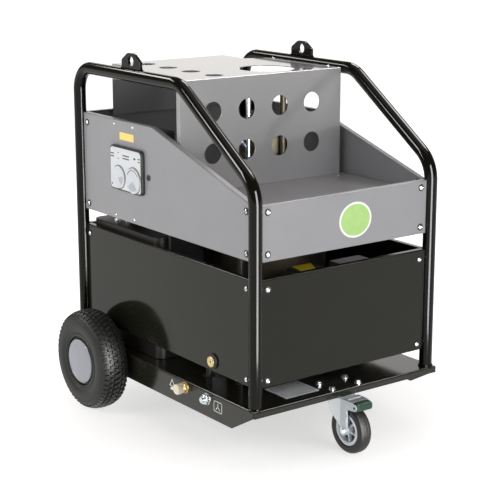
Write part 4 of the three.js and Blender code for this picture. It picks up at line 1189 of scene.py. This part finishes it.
for side, word in SIDES:
    body = word + "_wheel"
    x0, x1 = WHEEL_X
    middle = (x0 + x1) / 2
    piece(word + "_tread_tyre", tyre(side), TYRE, word + "_tyre", body=body, sharp=30, tidy=False)
    disc = [(10.3, x0), (22, x0), (22, middle - 4), (56, middle - 4), (60, x0 + 12), (60, x0 + 8),
            (66, x0 + 8), (66, x1 - 9), (63.4, x1 - 8.4), (61, x1 - 10), (60, middle + 6), (56, middle + 4),
            (10.3, middle + 4)]
    made = Build().turned("x", [(r, side * w) for r, w in disc], HUB, 72, 1.0)
    piece(word + "_wheel_rim", made, BLACK_PLASTIC, word + "_rim", body=body)
    dome = [(0, 0.5), (20, 0.8), (40, 1.8), (52, 3.2), (56.4, 4.0), (57.2, 3.2), (59.2, 2.8), (60.6, 4.0),
            (60.6, 7.4), (58.2, 7.6), (57.5, 14), (56, 14), (55.5, 8), (0, 4.6)]
    made = Build().turned("x", [(r, side * (x1 - w)) for r, w in dome], HUB, 96, 0.5)
    piece(word + "_hub_cap", made, GREY_PLASTIC, word + "_wheel_cap", body=body)

bar = [(0, -378), (8.5, -378), (10, -376.5), (10, 376.5), (8.5, 378), (0, 378)]
axle = Build().turned("x", bar, HUB, 40, 0.3)
for side in (LEFT, RIGHT):
    axle.rod("x", HUB, 17, across(side, DECK_X + 0.3, DECK_X + 6.4), 40, 0.5, bore=10.1)
piece("wheel_axle", axle, STEEL, "rear_axle")


# ---- Caster ----

plate_top = DECK_TOP - DECK_SHEET - GAP
spots = [(a * 43, CASTER_Y + b * 25.5) for a, b in ((-1, -1), (1, -1), (-1, 1), (1, 1))]
mount = Build().prism("z", rounded_rect(0, CASTER_Y, 106, 77, 6), (plate_top - 4, plate_top),
                      [ring(a, b, 4.6, 20) for a, b in spots], 0.6)
cup = [(0, 148), (22, 148), (27, 151), (30, 153), (34, plate_top - 3.5), (0, plate_top - 3.5)]
mount.turned("z", cup, (0, CASTER_Y), 56, 0.8)
mount.rod("z", (0, CASTER_Y), 7, (138, plate_top - 2))
piece("swivel_plate", mount, GALVANISED, "caster_plate")
under = plate_top - 4 - GAP
for k, spot in enumerate(spots):
    turn = 0.4 * k
    made = Build().rod("z", spot, 10, (DECK_TOP + GAP, DECK_TOP + 2), 36, 0.4)
    made.nut("z", spot, 13.5, (DECK_TOP + 1.9, DECK_TOP + 8), start=turn)
    made.rod("z", spot, 4, (under - 8, DECK_TOP + 3), 24, 0.5)
    made.nut("z", spot, 13, (under - 6, under), edge=0.7, start=turn)
    piece(f"deck_bolt_{k + 1}", made, ZINC, f"caster_bolt_{k + 1}")


def fork():
    top, low = 147.0, CASTER_R - 13
    path = FoldPath([(-LEG_OUT, low), (-LEG_OUT, top), (LEG_OUT, top), (LEG_OUT, low)], 6.0, 8)

    def leg(z):
        return path.along(0, -LEG_OUT, z)

    rear, nose = CASTER_Y + 17, CASTER_WHEEL_Y - 10.5
    total = path.length
    left = [(nose, total / 2)] + [(y, leg(z)) for y, z in arc(*CASTER_HUB, 12.5, 180, 380, 14)]
    left += [(rear - 12, leg(102.0)), (rear, leg(138.0))]
    outline = rounded(left + [(u, total - s) for u, s in reversed(left[1:])], 1.5, 2)
    holes = [ring(CASTER_WHEEL_Y, s, 5.3, 28) for s in (leg(CASTER_R), total - leg(CASTER_R))]
    holes.append(ring(CASTER_Y, total / 2, 7.4, 32))
    made = Build().sheet(outline, path, LEG_OUT - LEG_IN, lambda u, a, b: (a, u, b), holes, 0.5)
    skirt = [(7.6, 143.5), (24, 143.5), (24, 140.5), (20, 137.5), (7.6, 137.5)]
    return made.turned("z", skirt, (0, CASTER_Y), 48, 0.8)


def bracket():
    low, high = LEG_OUT + GAP, LEG_OUT + GAP + 2.5
    outline = [(CASTER_WHEEL_Y + 11.5, 140), (CASTER_WHEEL_Y + 7, 146), (BRAKE_Y + 16, 146)]
    outline += arc(BRAKE_Y, BRAKE_Z, 9, 90, 270, 12) + [(BRAKE_Y + 20, 123.5), (CASTER_WHEEL_Y - 11.5, 119)]
    outline += arc(*CASTER_HUB, 11.5, 180, 360, 12)
    holes = [ring(*CASTER_HUB, 5.3, 28), ring(BRAKE_Y, BRAKE_Z, 3.4, 24)]
    made = Build()
    for s in (LEFT, RIGHT):
        made.prism("x", outline, across(s, low, high), holes, 0.5)
    strap = [(-458.5, 142.6), (-424, 143.6), (-424, 146), (-458.5, 145.2)]
    return made.prism("x", rounded(strap, 0.6, 2), (-high + 0.2, high - 0.2), edge=0.6)


def pedal():
    y, z, half = BRAKE_Y, BRAKE_Z, LEG_OUT - GAP
    outline = [(y - 11, z - 6), (y - 7, z - 10), (y + 12, z - 10), (y + 14, z - 7), (y + 14, z + 6),
               (y + 10, z + 10), (y - 7, z + 10), (y - 11, z + 5)]
    made = Build().prism("x", rounded(outline, 2.2, 3), (-half, half), edge=2.4)
    rib = (-half + 4, half - 4)
    for k in range(5):
        at = y - 6.5 + 3.6 * k
        made.slab(rib, (at, at + 1.7), (z + 9.4, z + 10.9), edge=0.5)
    for k in range(4):
        at = z - 5.5 + 3.2 * k
        made.slab(rib, (y - 11.8, y - 10.2), (at, at + 1.5), edge=0.4)
    return made.rod("x", (y, z), 3, (-LEG_OUT - 3.5, LEG_OUT + 3.5), 24)


piece("swivel_fork", fork(), GALVANISED, "caster_fork", body="caster")
# The brake arms take the darker zinc: painted shade on them.
piece("brake_arms", bracket(), SHADED_ZINC, "brake_bracket", body="caster")
piece("brake_lever", pedal(), GREEN_PLASTIC, "brake_pedal", body="brake")

end = LEG_OUT + GAP + 2.5 + GAP
wheel_bolt = Build().rod("x", CASTER_HUB, 5, (-end - 2, end + 2), 28)
for side in (LEFT, RIGHT):
    wheel_bolt.rod("x", CASTER_HUB, 9.6, across(side, end, end + 1.6), 40, 0.3)
    wheel_bolt.nut("x", CASTER_HUB, 12, across(side, end + 1.4, end + 4.6), edge=0.9, start=0.3)
piece("wheel_bolt", wheel_bolt, ZINC, "caster_axle", body="caster")

rim = [(32.0, -14), (33.2, -15.4), (41, -15.4), (41, 15.4), (33.2, 15.4), (32.0, 14), (31.4, 4), (31.4, -4)]
boss = [(5.3, -20.5), (9.5, -20.5), (12, -18), (12.5, 0), (12, 18), (9.5, 20.5), (5.3, 20.5)]
spoked = Build().turned("x", rim, CASTER_HUB, 72, 0.8).turned("x", boss, CASTER_HUB, 48, 0.8)
for k in range(6):
    t = 2 * math.pi * (k + 0.25) / 6
    spoke = []
    for r, off in ((10, -2.2), (34.5, -1.7), (34.5, 1.7), (10, 2.2)):
        spoke.append((CASTER_WHEEL_Y + r * math.cos(t) - off * math.sin(t),
                      CASTER_R + r * math.sin(t) + off * math.cos(t)))
    spoked.prism("x", spoke, (-12.5, 12.5), edge=0.8)
piece("spoked_rim", spoked, RIM_PLASTIC, "caster_rim", body="caster_wheel")
# A web between the spokes in dark plastic: its darkness paints the shade in the gaps between the spokes.
web = Build().rod("x", CASTER_HUB, 34, (-2, 2), 56, 0.5, bore=11)
piece("rim_web_painted_shade", web, BLACK_PLASTIC, body="caster_wheel", slotted=False)
tread = [(41.3, -15), (43, -17.4), (46, -18), (49, -17.4), (51, -18), (54.5, -17.6), (58.5, -15.6),
         (61.3, -11.4), (62.3, -6), (62.5, -5), (61.9, -4.4), (61.9, -3.6), (62.5, -3)]
tread += [(r, -w) for r, w in reversed(tread)]
solid_tyre = Build().turned("x", tread, CASTER_HUB, 80, 0.5)
piece("solid_tyre", solid_tyre, CASTER_RUBBER, "caster_tyre", body="caster_wheel")


# ---- Floor, light and camera ----

def pale_floor():
    """A pale floor that glows, a little more away from the part so that it fades to white; the dimmer glow
    near the part paints a shadow round it.
    """
    reach = 60.0
    mesh = bpy.data.meshes.new("floor")
    corners = [(-reach, -reach, 0), (reach, -reach, 0), (reach, reach, 0), (-reach, reach, 0)]
    mesh.from_pydata(corners, [], [(0, 1, 2, 3)])
    floor = bpy.data.objects.new("floor", mesh)
    bpy.context.collection.objects.link(floor)
    half_grey = 187.516
    pale = material("pale_floor", None, (half_grey,) * 3, 0.7, (0.005, 2.0), (0.02, 0.0014), specular=0.1)
    tree = pale.node_tree
    shader = tree.nodes["Principled BSDF"]
    shader.inputs["Emission Color"].default_value = (1, 1, 1, 1)
    away = tree.nodes.new("ShaderNodeVectorMath")
    away.operation = "LENGTH"
    tree.links.new(object_place(tree), away.inputs[0])
    # Painted light: the floor's own glow, dimmer near the part as a painted shadow.
    floor_glow_and_painted_shadow = spread(tree, away.outputs["Value"], 0.60, 1.06, 0.25, 1.0)
    tree.links.new(floor_glow_and_painted_shadow, shader.inputs["Emission Strength"])
    mesh.materials.append(pale)
    floor.visible_glossy = False


def studio():
    """White where the camera looks past the floor. Reflections see a dim warm room above a white floor."""
    world = bpy.data.worlds.new("studio")
    bpy.context.scene.world = world
    world.use_nodes = True
    tree = world.node_tree
    coords = tree.nodes.new("ShaderNodeTexCoord")
    above = spread(tree, height_of(tree, coords.outputs["Generated"]), 0, 1, -0.02, 0.05)
    colour = mixed(tree, above, (1.0, 0.99, 0.96, 1), (0.15, 0.122, 0.092, 1))
    rays = tree.nodes.new("ShaderNodeLightPath")
    shown = mixed(tree, rays.outputs["Is Camera Ray"], colour, (1, 1, 1, 1))
    tree.links.new(shown, tree.nodes["Background"].inputs["Color"])
    tree.nodes["Background"].inputs["Strength"].default_value = 1.0


def panel_light(name, centre, target, size, radiance, diffuse=True, glossy=True):
    lamp = bpy.data.lights.new(name, "AREA")
    lamp.shape = "RECTANGLE"
    lamp.size, lamp.size_y = size
    lamp.energy = radiance * math.pi * size[0] * size[1]
    obj = bpy.data.objects.new(name, lamp)
    bpy.context.collection.objects.link(obj)
    obj.location = centre
    obj.rotation_euler = (Vector(target) - Vector(centre)).to_track_quat("-Z", "Y").to_euler()
    obj.visible_diffuse = diffuse
    obj.visible_glossy = glossy
    obj.visible_camera = False


pale_floor()
studio()
panel_light("front_softbox", (0.6, -3.5, 2.0), (0, -0.3, 0.5), (2.4, 1.8), 4.35, glossy=False)
panel_light("left_softbox", (-3.5, 0.7, 2.2), (-0.3, 0, 0.5), (2.6, 2.0), 3.75, glossy=False)
panel_light("top_softbox", (0.3, -0.3, 3.6), (0, 0, 0.9), (3.0, 3.0), 0.6)
panel_light("backdrop", (2.1, 2.9, 1.4), (0, 0, 0.9), (4.0, 2.4), 1.0)
panel_light("front_strip", (-0.38, -2.25, 0.75), (-0.28, -0.4, 0.75), (1.0, 2.2), 26, diffuse=False)
panel_light("left_strip", (-2.85, 0.84, 1.93), (-0.28, -0.25, 0.82), (0.5, 1.6), 24, diffuse=False)
panel_light("rear_strip", (-1.2, 2.5, 2.6), (-0.28, 0.2, 0.92), (1.6, 0.35), 13, diffuse=False)
panel_light("high_right_strip", (2.1, -0.2, 3.3), (-0.35, 0.25, 0.25), (1.4, 1.4), 14, diffuse=False)
panel_light("slope_strip", (2.04, 1.5, 3.6), (-0.28, -0.1, 0.75), (1.2, 0.8), 18, diffuse=False)

AZIMUTH, PITCH = math.radians(-36.67), math.radians(13.81)
back = Vector((math.sin(AZIMUTH) * math.cos(PITCH), -math.cos(AZIMUTH) * math.cos(PITCH), math.sin(PITCH)))
camera_data = bpy.data.cameras.new("camera")
camera_data.sensor_width = 36
camera_data.lens = 101.8
camera_data.clip_end = 200
camera = bpy.data.objects.new("camera", camera_data)
camera.location = (-2.2099, -2.93485, 1.3519)
camera.rotation_mode = "QUATERNION"
camera.rotation_quaternion = (-back).to_track_quat("-Z", "Y")
bpy.context.collection.objects.link(camera)
bpy.context.scene.camera = camera
bpy.context.scene.view_settings.view_transform = "Standard"
